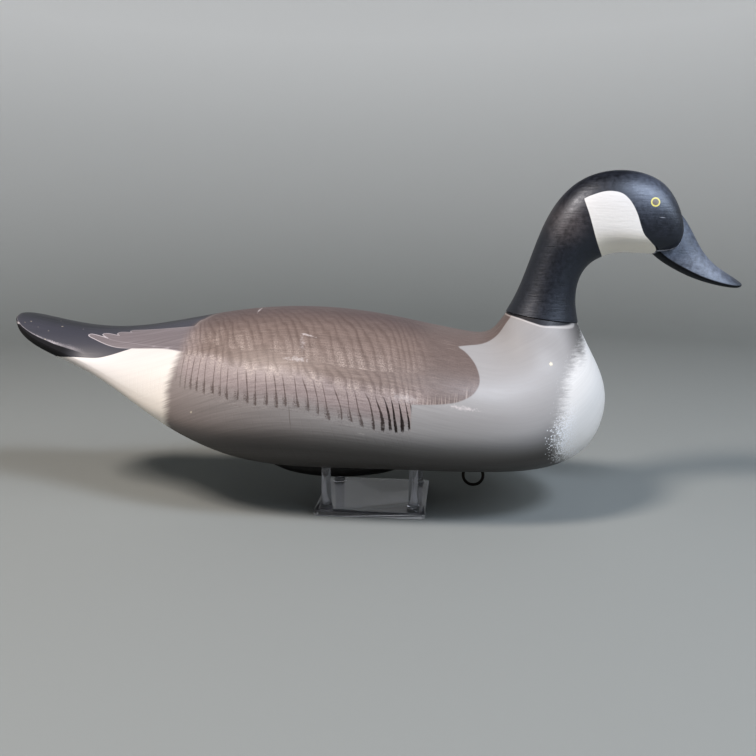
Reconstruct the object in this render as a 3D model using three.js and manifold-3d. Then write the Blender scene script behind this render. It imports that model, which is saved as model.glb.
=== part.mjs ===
// A carved and painted wooden goose decoy with a cast keel weight and a line ring under its belly,
// resting on a small clear stand with four posts.
// Millimetres, +Z up. The bird looks along +X. The origin is on the table, under the middle of the whole.
import * as THREE from 'three';
import { mergeVertices } from 'three/addons/utils/BufferGeometryUtils.js';
import Module from 'manifold-3d';

const wasm = await Module();
wasm.setup();

// Bird
const BIRD_LENGTH = 668; // tail tip to bill tip
const BODY_WIDTH = 207; // across the widest part of the body
const BELLY_HEIGHT = 37.8; // lowest point of the belly above the table
const TOUCH_GAP = 0.3; // between pieces that touch
const NECK_PROUD = 0.7; // how far the neck's foot stands proud of the body's shelf, all round

// Tail paddle: half a blunt ellipse in plan, crowned across like a bent board
const PADDLE_WIDTH = 92;
const PADDLE_LENGTH = 75; // from the tip to its full width
const PADDLE_CROWN = 19.5; // ridge above the edge, at the full width
const TIP_CROWN = 1; // the same at the tip
const PADDLE_THICKNESS = 15.3; // below the edge
const PADDLE_BLUNTNESS = 2.3; // 2 is a true ellipse, and more is squarer

// Keel weight
const WEIGHT_LENGTH = 136;
const WEIGHT_WIDTH = 42;
const WEIGHT_DEPTH = 15; // below the belly
const WEIGHT_PLACE = 0.4595; // its middle, as a share of the bird's length from the tail tip

// Line ring and its staple
const RING_OUTER = 21.5;
const RING_WIRE = 2.8;
const RING_PLACE = 0.658; // as a share of the bird's length from the tail tip
const STAPLE_WIRE = 2.2;
const STAPLE_SPAN = 11; // over the outsides of its legs

// Stand
const PLATE_SIDE = 102;
const PLATE_THICKNESS = 4.5;
const PLATE_CORNER = 5;
const POST_DIAMETER = 9.4; // just above its foot
const POST_TOP_DIAMETER = 7.4; // where it would end without the belly
const POST_SPACING = 80; // between post centres, both ways
const FLARE_WIDTH = 2.2; // how far the foot of a post spreads
const FLARE_HEIGHT = 9;
const STAND_PLACE = 0.517; // its middle, as a share of the bird's length from the tail tip

// Fineness of the faceted solids
const BODY_SIDES = 32;
const BODY_STEPS = 3; // sections from one station to the next
const NECK_SIDES = 28;
const NECK_STEPS = 2;
const BILL_SIDES = 24;
const BILL_STEPS = 2;
const WEIGHT_SIDES = 20;
const WEIGHT_STEPS = 18;
const RING_SIDES = 8;
const RING_STEPS = 32;
const STAPLE_STEPS = 24;
const STAPLE_HALF_SIDES = 5;
const CORNER_STEPS = 6;
const POST_SIDES = 18;
const FLARE_STEPS = 6;

const along = (percent) => (percent * BIRD_LENGTH) / 100;
const across = (percent) => (percent * BODY_WIDTH) / 200;

// A station is one cross-section of the carving. It runs from a point of the top line to a point of the
// bottom line, both in hundredths of the bird's length from the tail tip and above the belly. Half is its
// half width in hundredths of the body's half width. Crown is the share of its height above its widest
// level. Over and under shape the curves above and below that level: 2 meets it in a sharp edge, 1 is
// round, less is boxy.
function station(top, bottom, half, crown, over, under) {
  return {
    topX: along(top[0]), topZ: along(top[1]), bottomX: along(bottom[0]), bottomZ: along(bottom[1]),
    half: across(half), crown, over, under,
  };
}

// One station of the tail paddle, at an angle round its plan from the tip. Full is its thickness as a share of
// the paddle's.
function paddleStation(angle, ridge, full) {
  const turn = THREE.MathUtils.degToRad(angle);
  const share = Math.sin(turn) ** (2 / PADDLE_BLUNTNESS);
  const half = (PADDLE_WIDTH / 2) * share;
  const drop = TIP_CROWN + (PADDLE_CROWN - TIP_CROWN) * share ** 2;
  const x = PADDLE_LENGTH * (1 - Math.cos(turn) ** (2 / PADDLE_BLUNTNESS));
  const top = along(ridge);
  const height = drop + PADDLE_THICKNESS * full;
  return {
    topX: x, topZ: top, bottomX: x, bottomZ: top - height,
    half, crown: drop / height, over: 1.9, under: 0.9,
  };
}

// The stations turn from upright to the slope of the neck's foot like the sticks of a fan.
const bodyStations = [
  paddleStation(3, 20.79, 0.77),
  paddleStation(20, 20.94, 0.94),
  paddleStation(38, 20.74, 1),
  paddleStation(56, 20.27, 1),
  paddleStation(74, 19.6, 0.97),
  station([11.7, 19.05], [11.7, 13], 46.5, 0.61, 1.65, 0.75),
  station([15.8, 18.95], [15.8, 11.25], 52.5, 0.7, 1.4, 0.62),
  station([20.6, 19.45], [20.6, 8.2], 64.5, 0.71, 1.2, 0.62),
  station([26.3, 20.5], [26.3, 4.15], 78.5, 0.64, 1.1, 0.7),
  station([32.7, 21.65], [32.7, 1], 90.5, 0.54, 1.03, 0.8),
  station([39.4, 22.2], [39.4, 0], 98, 0.5, 1, 0.86),
  station([46.3, 22.05], [46.3, 0.03], 100.5, 0.51, 1, 0.85),
  station([52.9, 21.2], [53.2, 0.15], 100, 0.52, 1, 0.85),
  station([59.2, 19.85], [60.1, 0.05], 97.5, 0.52, 1, 0.86),
  station([63.7, 19], [66.7, 0.03], 93, 0.52, 1, 0.87),
  station([66.4, 18.6], [72.7, 0.15], 87, 0.52, 1, 0.9),
  station([67.7, 19.05], [77.9, 1.15], 79, 0.52, 1, 0.92),
  station([68.5, 19.8], [82, 4.1], 69.5, 0.51, 1, 0.95),
  station([69, 20.55], [83.65, 9.4], 58, 0.5, 1, 0.97),
  station([69.35, 21], [82.8, 13.5], 47, 0.5, 1, 1),
  station([69.6, 21.35], [80.9, 16.95], 36, 0.5, 1, 1),
  station([69.8, 21.7], [79.2, 20.35], 27.5, 0.5, 1, 1),
];

// Neck and head: the fan turns on, up the neck and over the throat to the face.
const neckStations = [
  station([69.8, 21.7], [79.2, 20.35], 27.5, 0.5, 1, 1),
  station([71, 24.05], [78.75, 22.95], 24, 0.5, 1, 1),
  station([72.15, 27.15], [78.9, 25.55], 21.8, 0.5, 1, 1),
  station([73.35, 30.75], [79.65, 27.35], 21.8, 0.5, 1, 1),
  station([74.6, 34.1], [80.7, 28.45], 23, 0.5, 1, 1),
  station([76.4, 37], [81.75, 29], 24.3, 0.52, 0.98, 0.9),
  station([78.7, 39.05], [82.85, 29.45], 25.5, 0.56, 0.96, 0.78),
  station([81.35, 40.05], [84.2, 29.7], 26.4, 0.6, 0.94, 0.66),
  station([84.05, 40.3], [85.7, 29.65], 26.8, 0.62, 0.93, 0.62),
  station([86.8, 39.9], [87.25, 29.55], 26.3, 0.62, 0.92, 0.62),
  station([89.3, 38.7], [89, 29.5], 25, 0.6, 0.9, 0.64),
  station([90.7, 36.8], [90.2, 29.6], 23.2, 0.57, 0.9, 0.7),
  station([91.3, 35.35], [91.05, 30], 20.8, 0.54, 0.9, 0.75),
  station([91.55, 34.3], [91.55, 30.7], 17.5, 0.5, 0.9, 0.8),
  station([91.75, 33.3], [91.75, 31.7], 12.5, 0.5, 1, 1),
];

// The bill starts inside the head, so the cheek stands over it in a carved step.
const billStations = [
  station([89.2, 36.9], [88, 30.05], 12.3, 0.92, 1.7, 0.9),
  station([91.2, 35.35], [89.55, 28.65], 13.8, 0.93, 1.7, 0.9),
  station([92.8, 33.5], [91.4, 27.55], 14.6, 0.92, 1.75, 0.9),
  station([94.25, 30.6], [93.35, 26.55], 14.6, 0.89, 1.75, 0.9),
  station([95.7, 28.7], [95.3, 25.85], 14, 0.86, 1.75, 0.9),
  station([97.4, 27.4], [97.25, 25.35], 12.6, 0.83, 1.7, 0.9),
  station([98.8, 26.55], [98.75, 25.1], 10.3, 0.78, 1.6, 0.95),
  station([99.7, 25.95], [99.65, 25.1], 7, 0.65, 1.5, 1),
  station([100, 25.7], [100, 25.3], 2, 0.5, 1, 1),
];

// A smooth curve guided by four neighbouring values, at share t between the second and the third.
function blend(a, b, c, d, t) {
  return ((1 - t) ** 3 * a + (3 * t ** 3 - 6 * t ** 2 + 4) * b
    + (-3 * t ** 3 + 3 * t ** 2 + 3 * t + 1) * c + t ** 3 * d) / 6;
}

// The stations with smooth steps between them. The curve ends on the first and the last one.
function smoothStations(stations, steps) {
  const mirror = (end, next) => Object.fromEntries(
    Object.keys(end).map((key) => [key, 2 * end[key] - next[key]]),
  );
  const last = stations.length - 1;
  const padded = [
    mirror(stations[0], stations[1]), ...stations, mirror(stations[last], stations[last - 1]),
  ];
  const smooth = [];
  for (let i = 0; i < last; i += 1) {
    const guides = padded.slice(i, i + 4);
    for (let k = 0; k < steps; k += 1) {
      const row = {};
      for (const key of Object.keys(stations[0])) row[key] = blend(...guides.map((s) => s[key]), k / steps);
      smooth.push(row);
    }
  }
  smooth.push({ ...stations[last] });
  return smooth;
}

// The points of one cross-section, once round from its right side over the top.
function sectionPoints(s, sides) {
  const points = [];
  for (let i = 0; i < sides; i += 1) {
    const turn = (i / sides) * 2 * Math.PI;
    const sine = Math.sin(turn);
    const rise = sine >= 0 ? s.crown * sine ** s.over : -(1 - s.crown) * (-sine) ** s.under;
    const down = s.crown - rise;
    points.push(new THREE.Vector3(
      s.topX + (s.bottomX - s.topX) * down,
      s.half * Math.cos(turn),
      s.topZ + (s.bottomZ - s.topZ) * down,
    ));
  }
  return points;
}

// A closed skin over the sections, with a flat fan over each end.
function loft(sections) {
  const sides = sections[0].length;
  const points = sections.flat();
  const faces = [];
  for (let i = 0; i + 1 < sections.length; i += 1) {
    for (let j = 0; j < sides; j += 1) {
      const a = i * sides + j;
      const b = i * sides + ((j + 1) % sides);
      faces.push(a, b, b + sides, a, b + sides, a + sides);
    }
  }
  const close = (start, turned) => {
    const middle = new THREE.Vector3();
    for (let j = 0; j < sides; j += 1) middle.addScaledVector(points[start + j], 1 / sides);
    const hub = points.push(middle) - 1;
    for (let j = 0; j < sides; j += 1) {
      const a = start + j;
      const b = start + ((j + 1) % sides);
      faces.push(...(turned ? [hub, b, a] : [hub, a, b]));
    }
  };
  close(0, true);
  close((sections.length - 1) * sides, false);
  const coordinates = points.flatMap((p) => p.toArray());
  const geometry = new THREE.BufferGeometry();
  geometry.setAttribute('position', new THREE.Float32BufferAttribute(coordinates, 3));
  geometry.setIndex(faces);
  return geometry;
}

function loftStations(stations, steps, sides) {
  return loft(smoothStations(stations, steps).map((s) => sectionPoints(s, sides)));
}

// Solids for joining and cutting, and back
function solid(geometry) {
  const bare = geometry.clone();
  bare.deleteAttribute('normal');
  bare.deleteAttribute('uv');
  const merged = mergeVertices(bare);
  return new wasm.Manifold(new wasm.Mesh({
    numProp: 3,
    vertProperties: new Float32Array(merged.attributes.position.array),
    triVerts: new Uint32Array(merged.index.array),
  }));
}

function geometryOf(manifold) {
  const mesh = manifold.getMesh();
  const geometry = new THREE.BufferGeometry();
  geometry.setAttribute('position', new THREE.Float32BufferAttribute(mesh.vertProperties, 3));
  geometry.setIndex(Array.from(mesh.triVerts));
  geometry.computeVertexNormals();
  return geometry;
}

// Height of the belly's lowest line above its lowest point, at x from the tail tip.
function bellyLine(x) {
  const line = smoothStations(bodyStations, BODY_STEPS);
  const next = line.findIndex((s) => s.bottomX >= x);
  const before = line[next - 1];
  const share = (x - before.bottomX) / (line[next].bottomX - before.bottomX);
  return THREE.MathUtils.lerp(before.bottomZ, line[next].bottomZ, share);
}

function makeBody() {
  return loftStations(bodyStations, BODY_STEPS, BODY_SIDES);
}

// The neck's foot is a little wider than the shelf it stands on, and a touch above it.
function makeHeadAndNeck() {
  const [foot, next] = neckStations;
  const slope = new THREE.Vector2(foot.bottomX - foot.topX, foot.bottomZ - foot.topZ).normalize();
  const up = new THREE.Vector2(-slope.y, slope.x);
  const proudFoot = {
    ...foot,
    topX: foot.topX - slope.x * NECK_PROUD + up.x * TOUCH_GAP,
    topZ: foot.topZ - slope.y * NECK_PROUD + up.y * TOUCH_GAP,
    bottomX: foot.bottomX + slope.x * NECK_PROUD + up.x * TOUCH_GAP,
    bottomZ: foot.bottomZ + slope.y * NECK_PROUD + up.y * TOUCH_GAP,
    half: foot.half + NECK_PROUD,
  };
  const head = solid(loftStations([proudFoot, next, ...neckStations.slice(2)], NECK_STEPS, NECK_SIDES));
  const bill = solid(loftStations(billStations, BILL_STEPS, BILL_SIDES));
  return geometryOf(head.add(bill));
}

// A long rounded casting with full, blunt ends. It is drawn up into the belly and cut back to its curve.
function makeWeight(belly) {
  const middle = BIRD_LENGTH * WEIGHT_PLACE;
  const bluntness = 0.7;
  const sections = [];
  for (let i = 0; i <= WEIGHT_STEPS; i += 1) {
    const turn = Math.PI * ((i + 0.5) / (WEIGHT_STEPS + 1));
    const x = middle - (WEIGHT_LENGTH / 2) * Math.cos(turn);
    const fullness = Math.sin(turn);
    const bottom = bellyLine(x) - WEIGHT_DEPTH * fullness;
    sections.push(sectionPoints({
      topX: x, topZ: bellyLine(x) + WEIGHT_DEPTH, bottomX: x, bottomZ: bottom,
      half: (WEIGHT_WIDTH / 2) * fullness ** bluntness, crown: 0.5, over: 0.6, under: 0.75,
    }, WEIGHT_SIDES));
  }
  return geometryOf(solid(loft(sections)).subtract(belly));
}

const ringCentre = () => {
  const x = BIRD_LENGTH * RING_PLACE;
  return new THREE.Vector3(x, 0, bellyLine(x) - TOUCH_GAP - RING_OUTER / 2);
};

function makeRing() {
  const radius = (RING_OUTER - RING_WIRE) / 2;
  const geometry = new THREE.TorusGeometry(radius, RING_WIRE / 2, RING_SIDES, RING_STEPS);
  geometry.rotateX(Math.PI / 2);
  return geometry;
}

// A bent wire whose crown passes through the ring. Its legs stop at the wood.
function makeStaple(belly) {
  const centre = ringCentre();
  const ringInside = centre.z + RING_OUTER / 2 - RING_WIRE;
  const crown = ringInside - TOUCH_GAP - STAPLE_WIRE / 2;
  const leg = (STAPLE_SPAN - STAPLE_WIRE) / 2;
  const bend = leg / 2;
  const inTheWood = centre.z + RING_OUTER / 2 + STAPLE_SPAN / 2;
  const at = (y, z) => new THREE.Vector3(centre.x, y, z);
  const straight = (from, to) => new THREE.LineCurve3(from, to);
  const bent = (from, over, to) => new THREE.QuadraticBezierCurve3(from, over, to);
  const path = new THREE.CurvePath();
  path.add(straight(at(-leg, inTheWood), at(-leg, crown + bend)));
  path.add(bent(at(-leg, crown + bend), at(-leg, crown), at(-leg + bend, crown)));
  path.add(straight(at(-leg + bend, crown), at(leg - bend, crown)));
  path.add(bent(at(leg - bend, crown), at(leg, crown), at(leg, crown + bend)));
  path.add(straight(at(leg, crown + bend), at(leg, inTheWood)));
  const wire = new THREE.Shape();
  wire.absarc(0, 0, STAPLE_WIRE / 2, 0, 2 * Math.PI);
  const geometry = new THREE.ExtrudeGeometry(wire, {
    steps: STAPLE_STEPS, curveSegments: STAPLE_HALF_SIDES, extrudePath: path,
  });
  return geometryOf(solid(geometry).subtract(belly));
}

// A rounded square plate with four posts whose feet flare out into it. Their tops follow the belly.
function makeStand(belly) {
  const side = PLATE_SIDE / 2;
  const outline = new THREE.Shape();
  const corner = side - PLATE_CORNER;
  outline.absarc(corner, corner, PLATE_CORNER, 0, Math.PI / 2);
  outline.absarc(-corner, corner, PLATE_CORNER, Math.PI / 2, Math.PI);
  outline.absarc(-corner, -corner, PLATE_CORNER, Math.PI, 1.5 * Math.PI);
  outline.absarc(corner, -corner, PLATE_CORNER, 1.5 * Math.PI, 2 * Math.PI);
  let stand = solid(new THREE.ExtrudeGeometry(outline, {
    depth: PLATE_THICKNESS, bevelEnabled: false, curveSegments: CORNER_STEPS,
  }));
  const radius = POST_DIAMETER / 2;
  const inTheBelly = BELLY_HEIGHT + POST_SPACING / 4;
  const profile = [new THREE.Vector2(0, PLATE_THICKNESS / 2)];
  profile.push(new THREE.Vector2(radius + FLARE_WIDTH, PLATE_THICKNESS / 2));
  for (let i = 0; i <= FLARE_STEPS; i += 1) {
    const turn = (i / FLARE_STEPS) * (Math.PI / 2);
    profile.push(new THREE.Vector2(
      radius + FLARE_WIDTH * (1 - Math.sin(turn)),
      PLATE_THICKNESS + FLARE_HEIGHT * (1 - Math.cos(turn)),
    ));
  }
  profile.push(new THREE.Vector2(POST_TOP_DIAMETER / 2, inTheBelly), new THREE.Vector2(0, inTheBelly));
  for (const x of [-1, 1]) {
    for (const y of [-1, 1]) {
      const post = new THREE.LatheGeometry(profile, POST_SIDES);
      post.rotateX(Math.PI / 2);
      post.translate((x * POST_SPACING) / 2, (y * POST_SPACING) / 2, 0);
      stand = stand.add(solid(post));
    }
  }
  return geometryOf(stand.subtract(belly));
}

const finishes = {
  paintedWood: new THREE.MeshStandardMaterial({ color: 0x8f857c, roughness: 0.62, metalness: 0 }),
  blackPaint: new THREE.MeshStandardMaterial({ color: 0x1d1f23, roughness: 0.45, metalness: 0 }),
  castLead: new THREE.MeshStandardMaterial({ color: 0x1f1d1b, roughness: 0.6, metalness: 0.2 }),
  darkIron: new THREE.MeshStandardMaterial({ color: 0x2a2725, roughness: 0.5, metalness: 0.8 }),
  clearAcrylic: new THREE.MeshStandardMaterial({ color: 0xdfe6e4, roughness: 0.05, metalness: 0 }),
};

function place(parent, name, geometry, material, position = new THREE.Vector3()) {
  const mesh = new THREE.Mesh(geometry, material.clone());
  mesh.name = name;
  mesh.position.copy(position);
  parent.add(mesh);
  return mesh;
}

// The bird stands in its own group, with its tail tip at x = 0 and its belly's lowest point at z = 0.
const decoy = new THREE.Group();
const bird = new THREE.Group();
bird.position.z = BELLY_HEIGHT;
const bodyGeometry = makeBody();
const loweredBody = solid(bodyGeometry).translate([0, 0, -TOUCH_GAP]);
place(bird, 'body', bodyGeometry, finishes.paintedWood);
place(bird, 'head_and_neck', makeHeadAndNeck(), finishes.blackPaint);
place(bird, 'ballast_weight', makeWeight(loweredBody), finishes.castLead);
place(bird, 'line_ring', makeRing(), finishes.darkIron, ringCentre());
place(bird, 'ring_staple', makeStaple(loweredBody), finishes.darkIron);
decoy.add(bird);

const standX = BIRD_LENGTH * STAND_PLACE;
const standPlace = new THREE.Vector3(standX, 0, 0);
const bellyOverStand = loweredBody.translate([-standX, 0, BELLY_HEIGHT]);
place(decoy, 'display_stand', makeStand(bellyOverStand), finishes.clearAcrylic, standPlace);

// The middle of the whole goes over the origin.
const bounds = new THREE.Box3().setFromObject(decoy);
decoy.position.x = -(bounds.min.x + bounds.max.x) / 2;

export default decoy;
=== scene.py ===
"""A carved and painted wooden goose decoy, with its keel weight and line ring, on a small clear stand.

Metres, +Z up. The bird looks along +X, and the stand's foot is at z = 0. The carving's sections, sizes and places
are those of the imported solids; here they are drawn finely, painted, and set on a pale floor.
"""

import logging
import math
from collections.abc import Mapping, Sequence
from dataclasses import dataclass
from enum import Enum

import bmesh
import bpy
import numpy as np
from mathutils import Euler, Matrix, Vector
from mathutils.bvhtree import BVHTree

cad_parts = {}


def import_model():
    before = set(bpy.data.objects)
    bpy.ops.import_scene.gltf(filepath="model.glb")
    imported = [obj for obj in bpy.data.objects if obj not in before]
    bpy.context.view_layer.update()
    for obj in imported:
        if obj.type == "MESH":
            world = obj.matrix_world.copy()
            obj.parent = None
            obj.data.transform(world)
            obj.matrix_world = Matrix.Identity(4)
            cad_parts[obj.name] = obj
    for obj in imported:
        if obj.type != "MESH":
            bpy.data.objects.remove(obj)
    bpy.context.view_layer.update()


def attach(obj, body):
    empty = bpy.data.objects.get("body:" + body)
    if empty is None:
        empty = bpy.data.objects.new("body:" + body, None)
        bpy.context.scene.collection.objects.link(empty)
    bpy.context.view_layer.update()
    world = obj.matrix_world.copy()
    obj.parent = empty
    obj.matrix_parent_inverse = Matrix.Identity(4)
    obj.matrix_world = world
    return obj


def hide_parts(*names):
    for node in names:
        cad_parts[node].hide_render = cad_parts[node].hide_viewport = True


LOG = logging.getLogger("goose_decoy")

MM = 0.001
BIRD_LENGTH = 668 * MM
BODY_WIDTH = 207 * MM
BELLY_HEIGHT = 37.8 * MM
TOUCH_GAP = 0.3 * MM
# Where three things have their middle, as shares of the bird's length from its tail tip.
WEIGHT_PLACE, RING_PLACE, STAND_PLACE = 0.4595, 0.658, 0.517

Point = tuple[float, float]
Socket = bpy.types.NodeSocket


# The carving's form


@dataclass(frozen=True)
class Station:
    """One cross-section, from a point of the top line to a point of the bottom line.

    The two points are in hundredths of the bird's length, from the tail tip and above the belly, and the half
    width in hundredths of the body's. Crown is the share of the height above the widest level; over and under
    shape the curves above and below it.
    """

    top: Point
    bottom: Point
    half: float
    crown: float = 0.5
    over: float = 1.0
    under: float = 1.0

    def row(self) -> list[float]:
        """The station's eight values, in metres and shares."""
        ends = [value * BIRD_LENGTH / 100 for value in (*self.top, *self.bottom)]
        return [*ends, self.half * BODY_WIDTH / 200, self.crown, self.over, self.under]


@dataclass(frozen=True)
class TailPaddle:
    """The flat tail: half a blunt ellipse in plan, crowned across like a bent board."""

    width: float = 92 * MM
    length: float = 75 * MM
    crown: float = 19.5 * MM
    tip_crown: float = 1 * MM
    thickness: float = 15.3 * MM
    bluntness: float = 2.3
    over: float = 1.9
    under: float = 0.9

    def row(self, angle: float, ridge: float, full: float) -> list[float]:
        """One cross-section of the paddle.

        Args:
            angle: Place round the plan, in degrees from the tip.
            ridge: Height of the top line, in hundredths of the bird's length.
            full: Thickness here as a share of the paddle's.

        Returns:
            The same eight values as a station's.
        """
        turn = math.radians(angle)
        share = math.sin(turn) ** (2 / self.bluntness)
        drop = self.tip_crown + (self.crown - self.tip_crown) * share**2
        x = self.length * (1 - math.cos(turn) ** (2 / self.bluntness))
        top = ridge * BIRD_LENGTH / 100
        height = drop + self.thickness * full
        return [x, top, x, top - height, self.width / 2 * share, drop / height, self.over, self.under]


def smooth_rows(rows: np.ndarray, spacing: float) -> np.ndarray:
    """Draws a smooth curve through the guides of a row of stations.

    Args:
        rows: One station a row, eight values each.
        spacing: Longest step between two sections, in metres.

    Returns:
        The sections in between, one a row, ending on the first and the last station.
    """
    padded = np.vstack([2 * rows[0] - rows[1], rows, 2 * rows[-1] - rows[-2]])
    sections = []
    for i in range(len(rows) - 1):
        a, b, c, d = padded[i : i + 4]
        reach = max(np.hypot(*(c - b)[0:2]), np.hypot(*(c - b)[2:4]))
        steps = max(2, math.ceil(reach / spacing))
        for t in np.arange(steps) / steps:
            weights = (1 - t) ** 3, 3 * t**3 - 6 * t**2 + 4, -3 * t**3 + 3 * t**2 + 3 * t + 1, t**3
            sections.append(sum(w * row for w, row in zip(weights, (a, b, c, d))) / 6)
    sections.append(rows[-1])
    return np.array(sections)


def section_points(row: np.ndarray, sides: int) -> np.ndarray:
    """The points once round a cross-section, from its top down the right side and up the left.

    Args:
        row: The section's eight values.
        sides: Number of points.

    Returns:
        An array of sides by 3, in metres, before the bird is put in its place.
    """
    top_x, top_z, bottom_x, bottom_z, half, crown, over, under = row
    turn = np.arange(sides) / sides * 2 * math.pi
    up = np.cos(turn)
    rise = np.where(up >= 0, crown * np.abs(up) ** over, -(1 - crown) * np.abs(up) ** under)
    down = crown - rise
    return np.stack(
        [top_x + (bottom_x - top_x) * down, -half * np.sin(turn), top_z + (bottom_z - top_z) * down],
        axis=1,
    )


def girth_below_ridge(rings: np.ndarray) -> np.ndarray:
    """Distance of every ring point from the top of its ring, measured with a tape over the surface.

    Args:
        rings: Sections by sides by 3 coordinates.

    Returns:
        Sections by sides distances, the same on the left and the right.
    """
    steps = np.linalg.norm(np.roll(rings, -1, axis=1) - rings, axis=2)
    down_right = np.concatenate([np.zeros((len(rings), 1)), np.cumsum(steps, axis=1)[:, :-1]], axis=1)
    around = steps.sum(axis=1, keepdims=True)
    return np.minimum(down_right, around - down_right)


def skin(name: str, rings: np.ndarray) -> bpy.types.Object:
    """A closed mesh over rings of points, with a fan over each end.

    Args:
        name: The object's name.
        rings: Sections by sides by 3 coordinates, in metres.

    Returns:
        The new object, shaded smooth, its vertices in the rings' order with the two hubs last.
    """
    count, sides = rings.shape[:2]
    hubs = rings[[0, -1]].mean(axis=1)
    points = np.vstack([rings.reshape(-1, 3), hubs])
    quads = []
    for i in range(count - 1):
        for j in range(sides):
            a, b = i * sides + j, i * sides + (j + 1) % sides
            quads.append((a, a + sides, b + sides, b))
    fans = []
    for j in range(sides):
        k = (j + 1) % sides
        fans.append((count * sides, j, k))
        fans.append((count * sides + 1, (count - 1) * sides + k, (count - 1) * sides + j))
    mesh = bpy.data.meshes.new(name)
    mesh.from_pydata(points.tolist(), [], quads + fans)
    turn_outwards(mesh)
    shade(mesh, 40)
    return put_in_scene(name, mesh)


def put_in_scene(name: str, data: bpy.types.ID) -> bpy.types.Object:
    """Makes an object of a mesh, lamp or lens, and links it to the scene.

    Args:
        name: The object's name.
        data: What it shows.

    Returns:
        The new object.
    """
    holder = bpy.data.objects.new(name, data)
    bpy.context.scene.collection.objects.link(holder)
    return holder


def shade(mesh: bpy.types.Mesh, sharp_from: float) -> None:
    """Shades a mesh smooth, but leaves its edges crisp from an angle of so many degrees."""
    mesh.shade_smooth()
    mesh.set_sharp_from_angle(angle=math.radians(sharp_from))


def turn_outwards(mesh: bpy.types.Mesh) -> None:
    """Makes every face of a closed mesh point outwards.

    Args:
        mesh: The mesh.
    """
    work = bmesh.new()
    work.from_mesh(mesh)
    bmesh.ops.recalc_face_normals(work, faces=work.faces)
    if work.calc_volume(signed=True) < 0:
        bmesh.ops.reverse_faces(work, faces=work.faces)
    work.to_mesh(mesh)
    work.free()


class Joining(Enum):
    """How one closed form is worked into another."""

    UNION = "UNION"
    CUT = "DIFFERENCE"


def work_together(piece: bpy.types.Object, other: bpy.types.Object, how: Joining) -> None:
    """Joins another closed form to a piece, or cuts it away, and leaves a plain mesh.

    Args:
        piece: The piece that is changed.
        other: The form that is joined or cut away.
        how: Which of the two.
    """
    cut = piece.modifiers.new("work", "BOOLEAN")
    cut.operation = how.value
    cut.solver = "EXACT"
    cut.object = other
    make_plain(piece)


def make_plain(piece: bpy.types.Object) -> None:
    """Turns what a piece's modifiers make into its own plain mesh, and removes them.

    Args:
        piece: The piece.
    """
    shaped = piece.evaluated_get(bpy.context.evaluated_depsgraph_get())
    mesh = bpy.data.meshes.new_from_object(shaped)
    piece.modifiers.clear()
    old = piece.data
    piece.data = mesh
    mesh.name = piece.name
    bpy.data.meshes.remove(old)


def store(piece: bpy.types.Object, name: str, values: np.ndarray) -> None:
    """Keeps a number or three for every vertex of a piece, for its paint to read.

    Args:
        piece: The mesh piece.
        name: The attribute's name.
        values: One value, or three, for each vertex.
    """
    kind, field_name = ("FLOAT_VECTOR", "vector") if values.ndim == 2 else ("FLOAT", "value")
    attribute = piece.data.attributes.new(name, kind, "POINT")
    attribute.data.foreach_set(field_name, values.astype(np.float32).ravel())


def coordinates(piece: bpy.types.Object) -> np.ndarray:
    """A piece's vertices as an array of n by 3.

    Args:
        piece: The mesh piece.

    Returns:
        The coordinates in metres.
    """
    values = np.empty(len(piece.data.vertices) * 3, dtype=np.float32)
    piece.data.vertices.foreach_get("co", values)
    return values.reshape(-1, 3).astype(float)


# Outlines of painted areas


def drawn_curve(points: Sequence[Point], steps: int = 6) -> np.ndarray:
    """A smooth curve through a few points, as a brush would draw it.

    Args:
        points: The points it goes through.
        steps: Short straight pieces between two of them.

    Returns:
        An array of points by 2.
    """
    guide = np.array(points, dtype=float)
    if len(guide) < 3:
        return guide
    padded = np.vstack([2 * guide[0] - guide[1], guide, 2 * guide[-1] - guide[-2]])
    curve = []
    for i in range(len(guide) - 1):
        p, q, r, s = padded[i : i + 4]
        for t in np.arange(steps) / steps:
            curve.append(
                0.5 * (2 * q + (r - p) * t + (2 * p - 5 * q + 4 * r - s) * t**2 + (3 * q - p - 3 * r + s) * t**3)
            )
    curve.append(guide[-1])
    return np.array(curve)


def distance_inside(points: np.ndarray, *runs: Sequence[Point]) -> np.ndarray:
    """Distance of points from a closed outline, positive inside it.

    Args:
        points: An array of n by 2.
        *runs: The outline's smooth stretches, which meet in corners.

    Returns:
        One signed distance for each point, in the points' own unit.
    """
    outline = np.vstack([drawn_curve(run) for run in runs])
    nearest = np.full(len(points), np.inf)
    inside = np.zeros(len(points), dtype=bool)
    x, y = points[:, 0], points[:, 1]
    for (ax, ay), (bx, by) in zip(outline, np.roll(outline, -1, axis=0)):
        length = (bx - ax) ** 2 + (by - ay) ** 2
        if length < 1e-12:
            continue
        share = np.clip(((x - ax) * (bx - ax) + (y - ay) * (by - ay)) / length, 0, 1)
        nearest = np.minimum(nearest, np.hypot(x - ax - share * (bx - ax), y - ay - share * (by - ay)))
        crosses = (ay > y) != (by > y)
        if ay != by:
            inside ^= crosses & (x < ax + (y - ay) / (by - ay) * (bx - ax))
    return np.where(inside, nearest, -nearest)


# Sub-assemblies


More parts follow.
